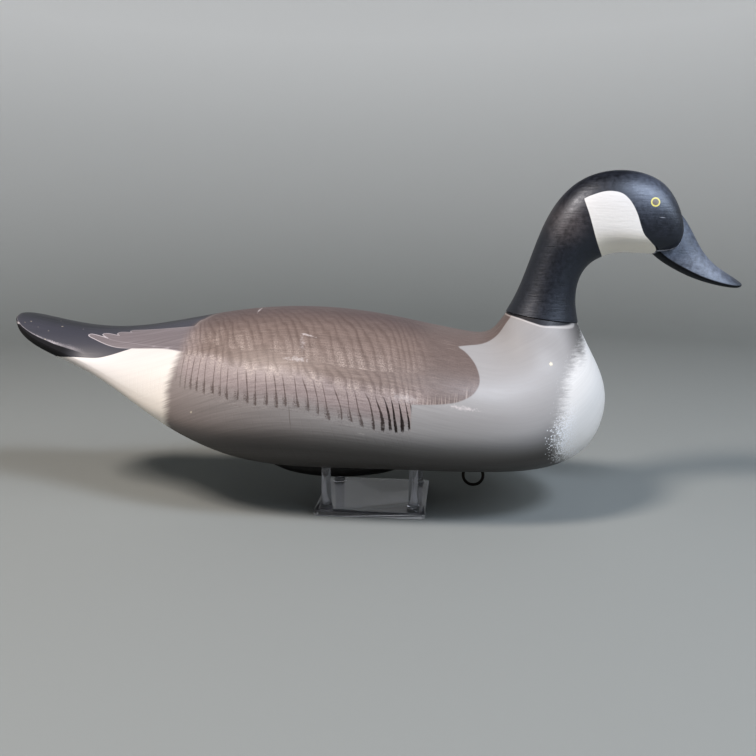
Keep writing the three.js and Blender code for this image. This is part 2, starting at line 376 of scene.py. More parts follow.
@dataclass
class Body:
    """The wooden body: tail paddle, back, belly and breast, up to the shelf that the neck stands on."""

    paddle: TailPaddle = TailPaddle()
    sides: int = 208
    spacing: float = 1.7 * MM

    def rows(self) -> np.ndarray:
        """The body's stations from the tail tip to the shelf.

        Returns:
            One station a row, eight values each.
        """
        paddle = self.paddle
        return np.array(
            [
                paddle.row(3, 20.79, 0.77),
                paddle.row(20, 20.94, 0.94),
                paddle.row(38, 20.74, 1),
                paddle.row(56, 20.27, 1),
                paddle.row(74, 19.6, 0.97),
                Station((11.7, 19.05), (11.7, 13), 46.5, 0.61, 1.65, 0.75).row(),
                Station((15.8, 18.95), (15.8, 11.25), 52.5, 0.7, 1.4, 0.62).row(),
                Station((20.6, 19.45), (20.6, 8.2), 64.5, 0.71, 1.2, 0.62).row(),
                Station((26.3, 20.5), (26.3, 4.15), 78.5, 0.64, 1.1, 0.7).row(),
                Station((32.7, 21.65), (32.7, 1), 90.5, 0.54, 1.03, 0.8).row(),
                Station((39.4, 22.2), (39.4, 0), 98, 0.5, 1, 0.86).row(),
                Station((46.3, 22.05), (46.3, 0.03), 100.5, 0.51, 1, 0.85).row(),
                Station((52.9, 21.2), (53.2, 0.15), 100, 0.52, 1, 0.85).row(),
                Station((59.2, 19.85), (60.1, 0.05), 97.5, 0.52, 1, 0.86).row(),
                Station((63.7, 19), (66.7, 0.03), 93, 0.52, 1, 0.87).row(),
                Station((66.4, 18.6), (72.7, 0.15), 87, 0.52, 1, 0.9).row(),
                Station((67.7, 19.05), (77.9, 1.15), 79, 0.52, 1, 0.92).row(),
                Station((68.5, 19.8), (82, 4.1), 69.5, 0.51, 1, 0.95).row(),
                Station((69, 20.55), (83.65, 9.4), 58, 0.5, 1, 0.97).row(),
                Station((69.35, 21), (82.8, 13.5), 47).row(),
                Station((69.6, 21.35), (80.9, 16.95), 36).row(),
                Station((69.8, 21.7), (79.2, 20.35), 27.5).row(),
            ]
        )

    def place(self) -> np.ndarray:
        """Where the tail tip's foot is: the bird's middle is over the origin and its belly above the table.

        Returns:
            What is added to a point of the carving to put it in its place, in metres.
        """
        tip = self.rows()[0][0]
        return np.array([-(tip + BIRD_LENGTH) / 2, 0, BELLY_HEIGHT])

    def rings(self) -> np.ndarray:
        """The body's fine cross-sections, in place.

        Returns:
            Sections by sides by 3 coordinates, in metres.
        """
        sections = smooth_rows(self.rows(), self.spacing)
        return np.array([section_points(row, self.sides) for row in sections]) + self.place()

    def build(self) -> bpy.types.Object:
        """Carves the body and lays the tape over it for its paint.

        Returns:
            The body, not yet painted.
        """
        rings = self.rings()
        piece = skin("carved_body", rings)
        girth = girth_below_ridge(rings)
        along = rings[:, :, 0].ravel()
        below = girth.ravel()
        widest = girth[:, self.sides // 4][:, None].repeat(self.sides, axis=1).ravel()
        tape = np.stack([along, below, below - widest], axis=1)
        hubs = np.array([tape[: self.sides].mean(axis=0), tape[-self.sides :].mean(axis=0)])
        tape = np.vstack([tape, hubs])
        store(piece, "tape", tape)
        self.mark_out(piece, tape[:, :2] / MM)
        return piece

    def mark_out(self, piece: bpy.types.Object, tape: np.ndarray) -> None:
        """Draws the borders of the painted areas on the carving.

        Args:
            piece: The carved body.
            tape: Millimetres along the bird and down from the ridge, for each vertex.
        """
        plumage = Plumage()
        mantle, breast, rump, tail, neck = (
            distance_inside(tape, *runs)
            for runs in (plumage.mantle, plumage.breast, plumage.rump, plumage.tail, plumage.neck)
        )
        store(piece, "fields", np.stack([breast, rump, tail], axis=1))
        store(piece, "mantle", np.stack([mantle, *plumage.stroke_place(tape).T], axis=1))
        feathers = [distance_inside(tape, *runs) for runs in plumage.wing_tips]
        store(piece, "first_tip", feathers[0])
        store(piece, "wing", np.max(feathers, axis=0))
        store(piece, "neck", neck)


@dataclass(frozen=True)
class Plumage:
    """Borders of the painted areas of the body.

    Each point is in millimetres along the bird, from its middle, and down from the ridge of the back, as a tape
    laid over the right side measures it. The left side is painted the same.
    """

    mantle: tuple[tuple[Point, ...], ...] = (
        (
            (150, -40), (139, 8), (135.3, 16), (130.1, 20.7), (124.5, 25.2), (119, 29.2), (108, 37.4), (99, 42.6),
            (88.4, 49.4),
        ),
        (
            (88.4, 49.4), (94, 54), (98.7, 60.6), (104, 70.9), (107.2, 84), (106.3, 93.7), (101, 103.2),
            (90.7, 111.1), (80.5, 115.4), (66, 119.5), (52.5, 122.4),
        ),
        ((52.5, 122.4), (52.5, 145)),
        (
            (52.5, 145), (47, 149), (39, 150.5), (24, 152), (9, 151.5), (-15, 150), (-32, 144.5), (-59, 140.5),
            (-81, 138.5), (-104, 130), (-128, 117), (-140, 110), (-147, 105),
        ),
        ((-147, 105), (-152, 92), (-154, 67), (-153, 48), (-152, 35), (-149, 24), (-143, 12), (-135, -40)),
    )
    breast: tuple[tuple[Point, ...], ...] = (
        (
            (240, 78), (207, 91), (198, 94), (193, 91), (188, 90), (184, 93), (180, 98), (177, 104), (174, 114),
            (172, 125), (169.5, 137), (169, 149), (171, 162), (177, 180), (186, 200), (194, 260),
        ),
        ((190, 260), (320, 260), (320, 60)),
    )
    rump: tuple[tuple[Point, ...], ...] = (
        (
            (-150, 18), (-152, 70), (-155, 80), (-157.5, 89), (-159.5, 98), (-161, 113), (-163, 129), (-167, 145),
            (-171, 170), (-173, 300),
        ),
        ((-173, 300), (-300, 300), (-300, 18)),
    )
    neck: tuple[tuple[Point, ...], ...] = (
        (
            (126, -20), (131.1, -5.8), (132.4, 7), (136.9, 18.2), (146.2, 31.5), (155.7, 42.6), (162.2, 49.3),
            (171, 57), (180.5, 66.2), (187.2, 73.6), (191, 78.3), (192.9, 80.4), (195, 83.5), (198, 86),
        ),
        ((198, 86), (215, 60), (150, -60), (126, -20)),
    )
    tail: tuple[tuple[Point, ...], ...] = (
        ((-203, 48.5), (-210, 49.7), (-216, 51), (-225, 53), (-236, 54.9), (-247.5, 55), (-257, 55.2), (-268, 56.3),
         (-279, 59)),
        ((-279, 59), (-281, 75), (-284, 110), (-284, 200)),
        ((-284, 200), (-430, 200), (-430, -60), (-135, -60), (-141, 11), (-147, 24), (-151, 36), (-177, 45)),
    )
    wing_tips: tuple[tuple[tuple[Point, ...], ...], ...] = (
        (
            ((-254.8, 26.6), (-253.3, 24.6), (-251.1, 24.1), (-244.8, 25.7), (-235.4, 29.6), (-225, 34.6),
             (-207.4, 41), (-182.7, 51.2), (-140, 68)),
            ((-140, 76), (-155.3, 66.6), (-174.7, 57.5), (-198.8, 50.3), (-217.5, 45.6), (-228, 41.8), (-238, 36.9),
             (-246, 32.6), (-252.2, 29.3), (-254.8, 26.6)),
        ),
        (
            ((-242, 24.1), (-240.5, 22.2), (-237.6, 21.8), (-232.5, 23.2), (-224, 26.8), (-213.9, 31.6),
             (-197.3, 38.3), (-177.4, 46.6), (-140, 61)),
            ((-140, 70), (-182.7, 52.1), (-207.5, 43), (-223.9, 37.3), (-236.7, 28.8), (-242, 24.5)),
        ),
        (
            ((-228, 22.7), (-226.3, 20.7), (-223.4, 20.2), (-217.6, 21.5), (-205.6, 25.8), (-191.9, 31.6),
             (-172, 40.2), (-140, 52)),
            ((-140, 62), (-177.5, 48.4), (-197.4, 41), (-214, 35), (-223.4, 28.2), (-228, 22.9)),
        ),
        (
            ((-216.6, 19.9), (-214.9, 18.4), (-212.4, 18.1), (-206, 19.5), (-192.3, 22.9), (-174.4, 27.6),
             (-156.3, 32.6), (-140, 37)),
            ((-140, 56), (-172.1, 42.1), (-192, 34.6), (-205.7, 29.4), (-212.3, 24.2), (-216.6, 19.9)),
        ),
    )
    row_ends: tuple[tuple[Point, ...], ...] = (
        ((-150, -36), (-83, -18), (-34, -8), (20, -4), (52, -5), (107, -20)),
        ((-150, -4), (-83, 12), (-34, 22), (20, 27), (52, 25), (107, 5)),
        ((-150, 22), (-124, 29.3), (-83, 41.5), (-34, 54), (20, 59), (52, 57), (107, 34)),
        ((-150, 60), (-124, 69), (-100, 82), (-83, 87), (-60, 91), (-34, 97), (-10, 101.5), (20, 101), (52, 95),
         (107, 66)),
        ((-152, 71.7), (-132, 79.8), (-100, 98.4), (-82.6, 104.5), (-65.7, 108), (-49, 111), (-27, 114.3),
         (-11, 118), (4, 119.3), (25, 119.9), (52, 118.7), (107, 90)),
        ((-152, 102), (-147, 105), (-140, 110), (-128, 116.5), (-104, 129.3), (-81, 138), (-59, 140), (-32, 144),
         (-15, 149.5), (9, 151), (24, 151.5), (39, 150), (47, 148.5), (52, 145), (107, 120)),
    )
    stroke_spacing: tuple[Point, ...] = (
        (-155, 4.4), (-144, 4.8), (-130, 6.6), (-104, 8.2), (-60, 8.6), (0, 9.2), (20, 8.6), (31, 6.4), (40, 5.2),
        (52, 4.6), (60, 7),
    )

    def stroke_place(self, tape: np.ndarray) -> np.ndarray:
        """Counts the comb strokes along the back and the rows down its side.

        Args:
            tape: Millimetres along the bird and down from the ridge, for each vertex.

        Returns:
            For each vertex the number of strokes from the rear, and the number of rows from the ridge.
        """
        spacing = np.array(self.stroke_spacing)
        along = np.linspace(-340, 340, 681)
        strokes = np.cumsum(1 / np.interp(along, *spacing.T))
        ends = np.array([np.interp(tape[:, 0], *np.array(line).T) for line in self.row_ends])
        rows = sum(
            np.clip((tape[:, 1] - upper) / (lower - upper), 0, 1) for upper, lower in zip(ends[:-1], ends[1:])
        )
        # Below the last line the count runs on, by one for each 30 mm.
        rows = rows + np.clip((tape[:, 1] - ends[-1]) / 30, 0, 3)
        return np.stack([np.interp(tape[:, 0], along, strokes), rows], axis=1)


@dataclass
class HeadAndNeck:
    """The carved neck, head and bill, in one piece, standing on the body's shelf."""

    place: np.ndarray
    proud: float = 0.7 * MM
    rounding: float = 0.8 * MM
    neck_sides: int = 144
    bill_sides: int = 112
    spacing: float = 1.3 * MM

    def neck_rows(self) -> np.ndarray:
        """The neck's and the head's stations, from the foot over the throat to the face.

        Returns:
            One station a row, eight values each.
        """
        stations = (
            Station((69.8, 21.7), (79.2, 20.35), 27.5),
            Station((71, 24.05), (78.75, 22.95), 24),
            Station((72.15, 27.15), (78.9, 25.55), 21.8),
            Station((73.35, 30.75), (79.65, 27.35), 21.8),
            Station((74.6, 34.1), (80.7, 28.45), 23),
            Station((76.4, 37), (81.75, 29), 24.3, 0.52, 0.98, 0.9),
            Station((78.7, 39.05), (82.85, 29.45), 25.5, 0.56, 0.96, 0.78),
            Station((81.35, 40.05), (84.2, 29.7), 26.4, 0.6, 0.94, 0.66),
            Station((84.05, 40.3), (85.7, 29.65), 26.8, 0.62, 0.93, 0.62),
            Station((86.8, 39.9), (87.25, 29.55), 26.3, 0.62, 0.92, 0.62),
            Station((89.3, 38.7), (89, 29.5), 25, 0.6, 0.9, 0.64),
            Station((90.7, 36.8), (90.2, 29.6), 23.2, 0.57, 0.9, 0.7),
            Station((91.3, 35.35), (91.05, 30), 20.8, 0.54, 0.9, 0.75),
            Station((91.55, 34.3), (91.55, 30.7), 17.5, 0.5, 0.9, 0.8),
            Station((91.75, 33.3), (91.75, 31.7), 12.5),
        )
        rows = np.array([station.row() for station in stations])
        slope = rows[0, 2:4] - rows[0, 0:2]
        slope /= np.hypot(*slope)
        lift = np.array([-slope[1], slope[0]]) * TOUCH_GAP
        rows[0, 0:2] += lift - slope * self.proud
        rows[0, 2:4] += lift + slope * self.proud
        rows[0, 4] += self.proud
        return rows

    def bill_rows(self) -> np.ndarray:
        """The bill's stations, from inside the cheeks to the tip.

        Returns:
            One station a row, eight values each.
        """
        stations = (
            Station((89.2, 36.9), (88, 30.05), 12.3, 0.92, 1.7, 0.9),
            Station((91.2, 35.35), (89.55, 28.65), 13.8, 0.93, 1.7, 0.9),
            Station((92.8, 33.5), (91.4, 27.55), 14.6, 0.92, 1.75, 0.9),
            Station((94.25, 30.6), (93.35, 26.55), 14.6, 0.89, 1.75, 0.9),
            Station((95.7, 28.7), (95.3, 25.85), 14, 0.86, 1.75, 0.9),
            Station((97.4, 27.4), (97.25, 25.35), 12.6, 0.83, 1.7, 0.9),
            Station((98.8, 26.55), (98.75, 25.1), 10.3, 0.78, 1.6, 0.95),
            Station((99.7, 25.95), (99.65, 25.1), 7, 0.65, 1.5),
            Station((100, 25.7), (100, 25.3), 2),
        )
        return np.array([station.row() for station in stations])

    def rings(self, rows: np.ndarray, sides: int) -> np.ndarray:
        """Fine cross-sections through some stations, in place.

        Args:
            rows: The stations.
            sides: Number of points round each section.

        Returns:
            Sections by sides by 3 coordinates, in metres.
        """
        sections = smooth_rows(rows, self.spacing)
        return np.array([section_points(row, sides) for row in sections]) + self.place

    def round_foot(self, rings: np.ndarray) -> np.ndarray:
        """Rounds the lowest edge of the neck, where thick paint stands over the joint.

        Args:
            rings: The neck's sections, from its foot up.

        Returns:
            The sections with the rounding in place of the lowest ones.
        """
        foot = rings[0]
        middle = foot.mean(axis=0)
        inward = middle - foot
        inward /= np.linalg.norm(inward, axis=1, keepdims=True)
        rise = np.cross(foot[len(foot) // 4] - middle, foot[0] - middle)
        rise /= np.linalg.norm(rise)
        rise *= math.copysign(1, rise[2])
        edge = []
        for turn in np.radians([0, 30, 60]):
            edge.append(
                foot + inward * self.rounding * (1 - math.sin(turn)) + rise * self.rounding * (1 - math.cos(turn))
            )
        kept = [ring for ring in rings[1:] if np.min((ring - edge[-1]) @ rise) > self.rounding / 2]
        return np.array([*edge, *kept])

    def build(self) -> bpy.types.Object:
        """Carves the neck and head, joins the bill, and marks out the cheek patch.

        Returns:
            The head and neck, not yet painted.
        """
        head = skin("head_neck_and_bill", self.round_foot(self.rings(self.neck_rows(), self.neck_sides)))
        bill = skin("bill", self.rings(self.bill_rows(), self.bill_sides))
        parts = [
            BVHTree.FromPolygons([v.co for v in part.data.vertices], [p.vertices for p in part.data.polygons])
            for part in (head, bill)
        ]
        work_together(head, bill, Joining.UNION)
        bpy.data.objects.remove(bill)
        shade(head.data, 38)
        spots = coordinates(head)[:, [0, 2]] / MM
        store(head, "cheek", distance_inside(spots, *CheekPatch().outline))
        self.mark_bill(head, *parts)
        return head

    def mark_bill(self, head: bpy.types.Object, face: BVHTree, bill: BVHTree) -> None:
        """Marks out the bill for its paint: how far out from the face's step, and how far below its side, in mm.

        Args:
            head: The carved head, with its bill.
            face: The head's surface without the bill.
            bill: The bill's surface before it was joined.
        """
        spots = coordinates(head)
        out = [face.find_nearest(spot)[3] - bill.find_nearest(spot)[3] for spot in spots]
        store(head, "bill", np.array(out) / MM)
        side = self.rings(self.bill_rows(), self.bill_sides)[:, self.bill_sides // 4]
        start = side[0][0]
        below = np.interp(spots[:, 0], side[:, 0], side[:, 2]) - spots[:, 2]
        store(head, "bill_under", np.where(spots[:, 0] > start, below, -10 * MM) / MM)


@dataclass(frozen=True)
class CheekPatch:
    """The white patch on each cheek, as seen from the side, in millimetres along the bird and up."""

    outline: tuple[tuple[Point, ...], ...] = (
        ((193, 281.3), (198, 283.7), (206, 286.3), (213, 287.5), (220, 286.8), (225.5, 284.4), (231.5, 278),
         (236.5, 269), (239.8, 259.5), (243.5, 251.3), (250, 245), (255, 240), (256.5, 236), (255, 228)),
        ((255, 228), (255, 150), (228, 150), (226, 220)),
        ((226, 220), (219.5, 226), (213.5, 231.5), (208, 240), (203, 251), (198.5, 265), (193, 281.3)),
    )


@dataclass
class KeelWeight:
    """A long rounded casting under the keel, cut to the belly's own curve."""

    body: bpy.types.Object
    middle: float
    length: float = 136 * MM
    width: float = 42 * MM
    depth: float = 15 * MM
    sides: int = 48
    steps: int = 64
    bluntness: float = 0.7
    crown: float = 0.5
    over: float = 0.6
    under: float = 0.75

    def build(self) -> bpy.types.Object:
        """Casts the weight and cuts it back to a little below the wood.

        Returns:
            The weight.
        """
        belly = Belly(self.body)
        sections = []
        for i in range(self.steps + 1):
            turn = math.pi * (i + 0.5) / (self.steps + 1)
            x = self.middle - self.length / 2 * math.cos(turn)
            full = math.sin(turn)
            line = belly.height(x, 0)
            half = self.width / 2 * full**self.bluntness
            row = [x, line + self.depth, x, line - self.depth * full, half, self.crown, self.over, self.under]
            sections.append(section_points(np.array(row), self.sides))
        piece = skin("keel_weight", np.array(sections))
        cut_back(piece, self.body)
        shade(piece.data, 35)
        return piece


class Belly:
    """The body's underside, as what touches it from below finds it."""

    def __init__(self, body: bpy.types.Object) -> None:
        """Reads the carved body's surface.

        Args:
            body: The carved body.
        """
        self.surface = BVHTree.FromObject(body, bpy.context.evaluated_depsgraph_get())

    def height(self, x: float, y: float) -> float:
        """Height of the underside above the table at a point of the plan.

        Args:
            x: Place along the bird.
            y: Place to its left.

        Returns:
            The height in metres.
        """
        hit = self.surface.ray_cast(Vector((x, y, -10 * MM)), Vector((0, 0, 1)))[0]
        return hit.z


# Paint and materials


def linear(hex_colour: str) -> tuple[float, float, float, float]:
    """A colour given as sRGB hex, as the linear values that a shader takes.

    Args:
        hex_colour: The colour, such as #8b807c.

    Returns:
        Red, green, blue and a full alpha.
    """
    values = [int(hex_colour[i : i + 2], 16) / 255 for i in (1, 3, 5)]
    return (*(v / 12.92 if v <= 0.04045 else ((v + 0.055) / 1.055) ** 2.4 for v in values), 1.0)


@dataclass(frozen=True)
class Kind:
    """A kind of node as it is used here: its settings, the sockets that its values go to, and the output wanted."""

    name: str
    settings: tuple[tuple[str, object], ...] = ()
    takes: tuple[int | str, ...] = ()
    gives: int | str = 0


PLUS, MINUS, TIMES, OVER, TIMES_PLUS, LARGER, SIZE_OF, ROUNDED, WHOLE, PART, POWER, ROOT = (
    Kind("ShaderNodeMath", (("operation", operation),))
    for operation in (
        "ADD", "SUBTRACT", "MULTIPLY", "DIVIDE", "MULTIPLY_ADD", "MAXIMUM", "ABSOLUTE", "ROUND", "FLOOR", "FRACT",
        "POWER", "SQRT",
    )
)
RAMP = Kind("ShaderNodeMapRange")
SOFT_RAMP = Kind("ShaderNodeMapRange", (("interpolation_type", "SMOOTHSTEP"),))
BLEND = Kind("ShaderNodeMix", (("data_type", "RGBA"),), (0, 6, 7), 2)
BETWEEN = Kind("ShaderNodeMix", (("data_type", "FLOAT"),), (0, 2, 3))
SHADE = Kind("ShaderNodeVectorMath", (("operation", "SCALE"),), (0, "Scale"))
LENGTH = Kind("ShaderNodeVectorMath", (("operation", "LENGTH"),), gives="Value")
APART = Kind("ShaderNodeVectorMath", (("operation", "DISTANCE"),), gives="Value")
SPLIT, COMBINE = Kind("ShaderNodeSeparateXYZ"), Kind("ShaderNodeCombineXYZ")
PLACE, MAPPING = Kind("ShaderNodeTexCoord", gives="Object"), Kind("ShaderNodeMapping")
ATTRIBUTE = Kind("ShaderNodeAttribute")
NOISE = Kind("ShaderNodeTexNoise", takes=("Vector", "Scale", "Detail", "Roughness"))
CELLS, CHANCE = Kind("ShaderNodeTexVoronoi"), Kind("ShaderNodeTexWhiteNoise")
BUMP = Kind("ShaderNodeBump", takes=("Strength", "Distance", "Height"))
CIRCLE, SWEPT = Kind("GeometryNodeCurvePrimitiveCircle"), Kind("GeometryNodeCurveToMesh")
MOVED = Kind("GeometryNodeTransform")


class Nodes:
    """A node tree under construction."""

    def __init__(self, tree: bpy.types.NodeTree) -> None:
        """Takes a tree to build in.

        Args:
            tree: The tree.
        """
        self.tree = tree

    def add(
        self, kind: Kind | str, inputs: Mapping | Sequence = (), output: int | str | None = None, **settings: object
    ) -> Socket:
        """Adds a node with its settings and links.

        Args:
            kind: The node's kind, or the bare name of its type.
            inputs: The values that it holds or the outputs that feed it, in the kind's order or by socket.
            output: Which of the node's outputs is wanted, if not the kind's usual one.
            **settings: Properties beside those of the kind.

        Returns:
            That output.
        """
        kind = Kind(kind) if isinstance(kind, str) else kind
        node = self.tree.nodes.new(kind.name)
        for name, value in (*kind.settings, *settings.items()):
            setattr(node, name, value)
        pairs = inputs.items() if isinstance(inputs, Mapping) else zip(kind.takes or range(len(inputs)), inputs)
        for key, value in pairs:
            self.feed(node.inputs[key], value)
        return node.outputs[kind.gives if output is None else output] if node.outputs else None

    def feed(self, socket: Socket, value: object) -> None:
        """Links an output to a socket, or gives the socket a value of its own.

        Args:
            socket: The input.
            value: The output that feeds it, or what it holds.
        """
        if isinstance(value, Socket):
            self.tree.links.new(value, socket)
        else:
            socket.default_value = value

    def chain(self, kind: Kind, *values: Socket | float) -> Socket:
        """Adds nodes of one kind in a row.

        Args:
            kind: Their kind.
            *values: What the first takes, then one value more for each node after it.

        Returns:
            The last one's output.
        """
        result = values[0]
        for value in values[1:]:
            result = self.add(kind, (result, value))
        return result


class Finish(Nodes):
    """A material under construction."""

    def __init__(self, name: str) -> None:
        """Starts an empty material.

        Args:
            name: The material's name, after the real stuff.
        """
        self.material = bpy.data.materials.new(name)
        self.material.use_nodes = True
        super().__init__(self.material.node_tree)
        self.shader = self.tree.nodes["Principled BSDF"]

    def set(self, **values: object) -> None:
        """Sets the shader's own sockets, or links them; a name's underscores stand for spaces.

        Args:
            **values: For each socket, a value or the output that feeds it.
        """
        for name, value in values.items():
            self.feed(self.shader.inputs[name.replace("_", " ").title().replace("Ior", "IOR")], value)


NECK_BLACK = "#15171f"


class Layer(Enum):
    """What shows where the paint is rubbed or knocked."""

    PRIMER = "#e6dcc6"
    CHALKED_PAINT = "#cfc8c8"
    OLD_GRIME = "#5a4b45"


@dataclass(frozen=True)
class Mark:
    """A chip, scuff or scratch of the old paint, on the right side: where it is, how big, and which way it runs.

    The place is in metres along the bird and down from the ridge, as the tape measures it. The half length and half
    width are in metres too, and the slant is in degrees down towards the front.
    """

    place: Point
    half_length: float
    half_width: float
    slant: float = 0.0
    strength: float = 0.85
    shows: Layer = Layer.PRIMER


class Combing:
    """The rows of combed strokes on the back and the folded wings.

    It finds where a point lies: in which row, how far down it, at which stroke and how far beside its middle. Five
    rows are counted from the ridge. Those near it are soft, and the lowest one, from 4 to 5, is crisp. Widths are
    shares of the distance from one stroke to the next.
    """

    def __init__(self, finish: Finish, tape: Socket) -> None:
        """Finds a point's row and stroke.

        Args:
            finish: The material.
            tape: Place on the body.
        """
        self.add = add = finish.add
        self.chain = chain = finish.chain
        self.tape = tape
        self.along, self.below, _ = add(SPLIT, (tape,)).node.outputs
        self.flat = add(COMBINE, (self.along, self.below))
        mantle = add(ATTRIBUTE, attribute_name="mantle", output="Vector")
        self.edge, strokes, rows = add(SPLIT, (mantle,)).node.outputs
        # The three rows nearest the ridge run into one another.
        run_together = add(RAMP, (rows, 0.0, 3.0, 2.0, 3.0))
        self.rows = add(LARGER, (rows, run_together))
        self.down = add(PART, (self.rows,))
        self.lowest = add(RAMP, (self.rows, 3.98, 4.02))
        self.lobe = add(SOFT_RAMP, (self.along, 45 * MM, 75 * MM, 1.0, 0.12))
        self.above = add(TIMES, (add(MINUS, (1.0, self.lowest)), self.lobe))
        self.forward = add(SOFT_RAMP, (self.along, 4 * MM, 40 * MM))

        # No two strokes are alike: each sways, and has its own luck in width, length and darkness.
        self.count = add(COMBINE, (strokes, self.rows))
        row = add(WHOLE, (self.rows,))
        sway = add(NOISE, (self.count, 0.7, 1.0))
        sway = add(TIMES, (sway, add(RAMP, (self.lowest, 0.0, 1.0, 1.6, 0.9))))
        shift = add(TIMES_PLUS, (row, 0.37, sway))
        place = chain(PLUS, strokes, self.lean(), shift)
        number = add(ROUNDED, (place,))
        self.aside = add(MINUS, (place, number))
        self.off = add(SIZE_OF, (self.aside,))
        key = add(COMBINE, (number, row))
        self.luck = add(CHANCE, {"Vector": key}, noise_dimensions="2D")
        far_key = add(MAPPING, {0: key, 1: (31.0, 7.0, 0.0)})
        self.other_luck = add(CHANCE, {"Vector": far_key}, noise_dimensions="2D")

        # The dry brush leaves grain about 1.2 mm across, and its bristles break a stroke up lengthways.
        self.grain = add(NOISE, (self.flat, 820.0, 3.0, 0.6))
        ragged = add(MAPPING, {0: self.count, 3: (3.0, 14.0, 0.0)})
        bristles = add(NOISE, (ragged, 1.0, 3.0))
        self.dry = add(RAMP, (bristles, 0.3, 0.46, 0.6, 1.0))

    def lean(self) -> Socket:
        """How many strokes' widths a stroke leans at a point: most at its row's upper end, and in the upper rows.

        Returns:
            The lean, which is added to a point's place among the strokes.
        """
        add, chain = self.add, self.chain
        up = add(MINUS, (1.0, self.down))
        curve = add(RAMP, (self.rows, 2.98, 3.02, 1.15, 2.0))
        lean = add(POWER, (up, curve))
        most = add(RAMP, (self.rows, 2.98, 3.02, 9.0, 1.0))
        front = add(RAMP, (self.along, -120 * MM, 30 * MM, 0.12, 1.0))
        front_above = add(RAMP, (self.along, -120 * MM, 30 * MM, 1.0, 0.6))
        fourth_row = add(RAMP, (self.along, -120 * MM, 30 * MM, 0.35, 1.6))
        fourth_row = add(BETWEEN, (add(RAMP, (self.rows, 2.98, 3.02)), 1.0, fourth_row))
        front_above = add(TIMES, (front_above, fourth_row))
        front = add(BETWEEN, (self.lowest, front_above, front))
        return chain(TIMES, lean, most, front)

    def lowest_row(self) -> Socket:
        """The lowest row's strokes: thin lines whose lower part is ragged and often double.

        Returns:
            How far they cover a point.
        """
        add, chain = self.add, self.chain
        thin = add(RAMP, (self.forward, 0.0, 1.0, 0.042, 0.075))
        head = add(SOFT_RAMP, (self.down, 0.5, 0.78, 0.0, 0.06))
        belly = add(SOFT_RAMP, (self.down, 0.1, 0.45, 0.0, 0.1))
        belly = add(TIMES, (belly, self.forward))
        width = chain(PLUS, thin, head, belly)
        width = add(TIMES, (width, add(RAMP, (self.luck, 0.0, 1.0, 0.75, 1.25))))
        nibbled = add(RAMP, (self.grain, 0.3, 0.7, -0.075, 0.075))
        nibbled = add(TIMES, (nibbled, add(RAMP, (self.down, 0.45, 0.75, 0.25, 1.0))))
        near = add(MINUS, (width, self.off))
        near = add(PLUS, (near, nibbled))
        line = add(SOFT_RAMP, (near, -0.045, 0.03))
        line = add(TIMES, (line, add(SOFT_RAMP, (self.down, 0.0, 0.22, 0.25))))

        twin = add(RAMP, (self.other_luck, 0.3, 1.0, 0.12, 0.24))
        beside = add(PLUS, (self.aside, twin))
        beside = add(SIZE_OF, (beside,))
        beside = add(RAMP, (beside, 0.16, 0.06))
        blobs, headward = add(RAMP, (self.grain, 0.46, 0.56)), add(RAMP, (self.down, 0.52, 0.7, 0.0, 0.95))
        beside = chain(TIMES, beside, blobs, headward)
        line = add(LARGER, (line, beside))

        end = add(TIMES_PLUS, (self.other_luck, -0.13, 1.0))
        past = add(MINUS, (self.down, end))
        past = add(TIMES_PLUS, (nibbled, 0.5, past))
        ended = add(RAMP, (past, 0.0, -0.05))
        strength = add(RAMP, (self.forward, 0.0, 1.0, 0.72, 1.0))
        behind_front = add(RAMP, (self.along, 53.5 * MM, 52.5 * MM))
        return chain(TIMES, line, ended, self.dry, strength, self.lowest, behind_front)

    def rows_above(self) -> Socket:
        """The strokes of the rows above: soft arcs with a darker edge on one side.

        Returns:
            How far they cover a point.
        """
        add, chain = self.add, self.chain
        band = add(SOFT_RAMP, (self.aside, -0.44, -0.05))
        cut, faint = add(SOFT_RAMP, (self.aside, 0.3, 0.04)), add(RAMP, (self.luck, 0.0, 1.0, 0.18, 0.34))
        band = chain(TIMES, band, cut, faint)
        fine = add(SOFT_RAMP, (self.off, 0.12, 0.0))
        fine = add(TIMES, (fine, add(RAMP, (self.other_luck, 0.0, 1.0, 0.03, 0.13))))
        arc = add(PLUS, (band, fine))
        swell = add(SOFT_RAMP, (self.down, 0.0, 0.3, 0.6))
        fall = add(SOFT_RAMP, (self.down, 1.0, 0.8, 0.6))
        return chain(TIMES, arc, self.dry, swell, fall, self.above)

    def powder(self) -> Socket:
        """Dry powdery paint along the ends of the rows above the lowest one, most of all on the last.

        Returns:
            How far it covers a point.
        """
        add, chain = self.add, self.chain
        patches = add(NOISE, (self.count, 0.8, 2.0))
        dust = add(RAMP, (patches, 0.36, 0.6))
        dust = add(TIMES, (dust, add(RAMP, (self.grain, 0.38, 0.62))))
        start = add(RAMP, (self.rows, 2.98, 3.02, 0.76, 0.4))
        late = add(SOFT_RAMP, (self.down, start, 0.95))
        late = add(TIMES, (late, self.above))
        early = add(RAMP, (self.down, 0.4, 0.0, 0.0, 0.8))
        early = add(TIMES, (early, self.lowest))
        lower_rows = add(RAMP, (self.rows, 2.8, 3.6, 0.34, 1.0))
        between_strokes = add(RAMP, (self.off, 0.05, 0.3, 0.25))
        return chain(TIMES, dust, add(LARGER, (late, early)), lower_rows, between_strokes, self.lobe)

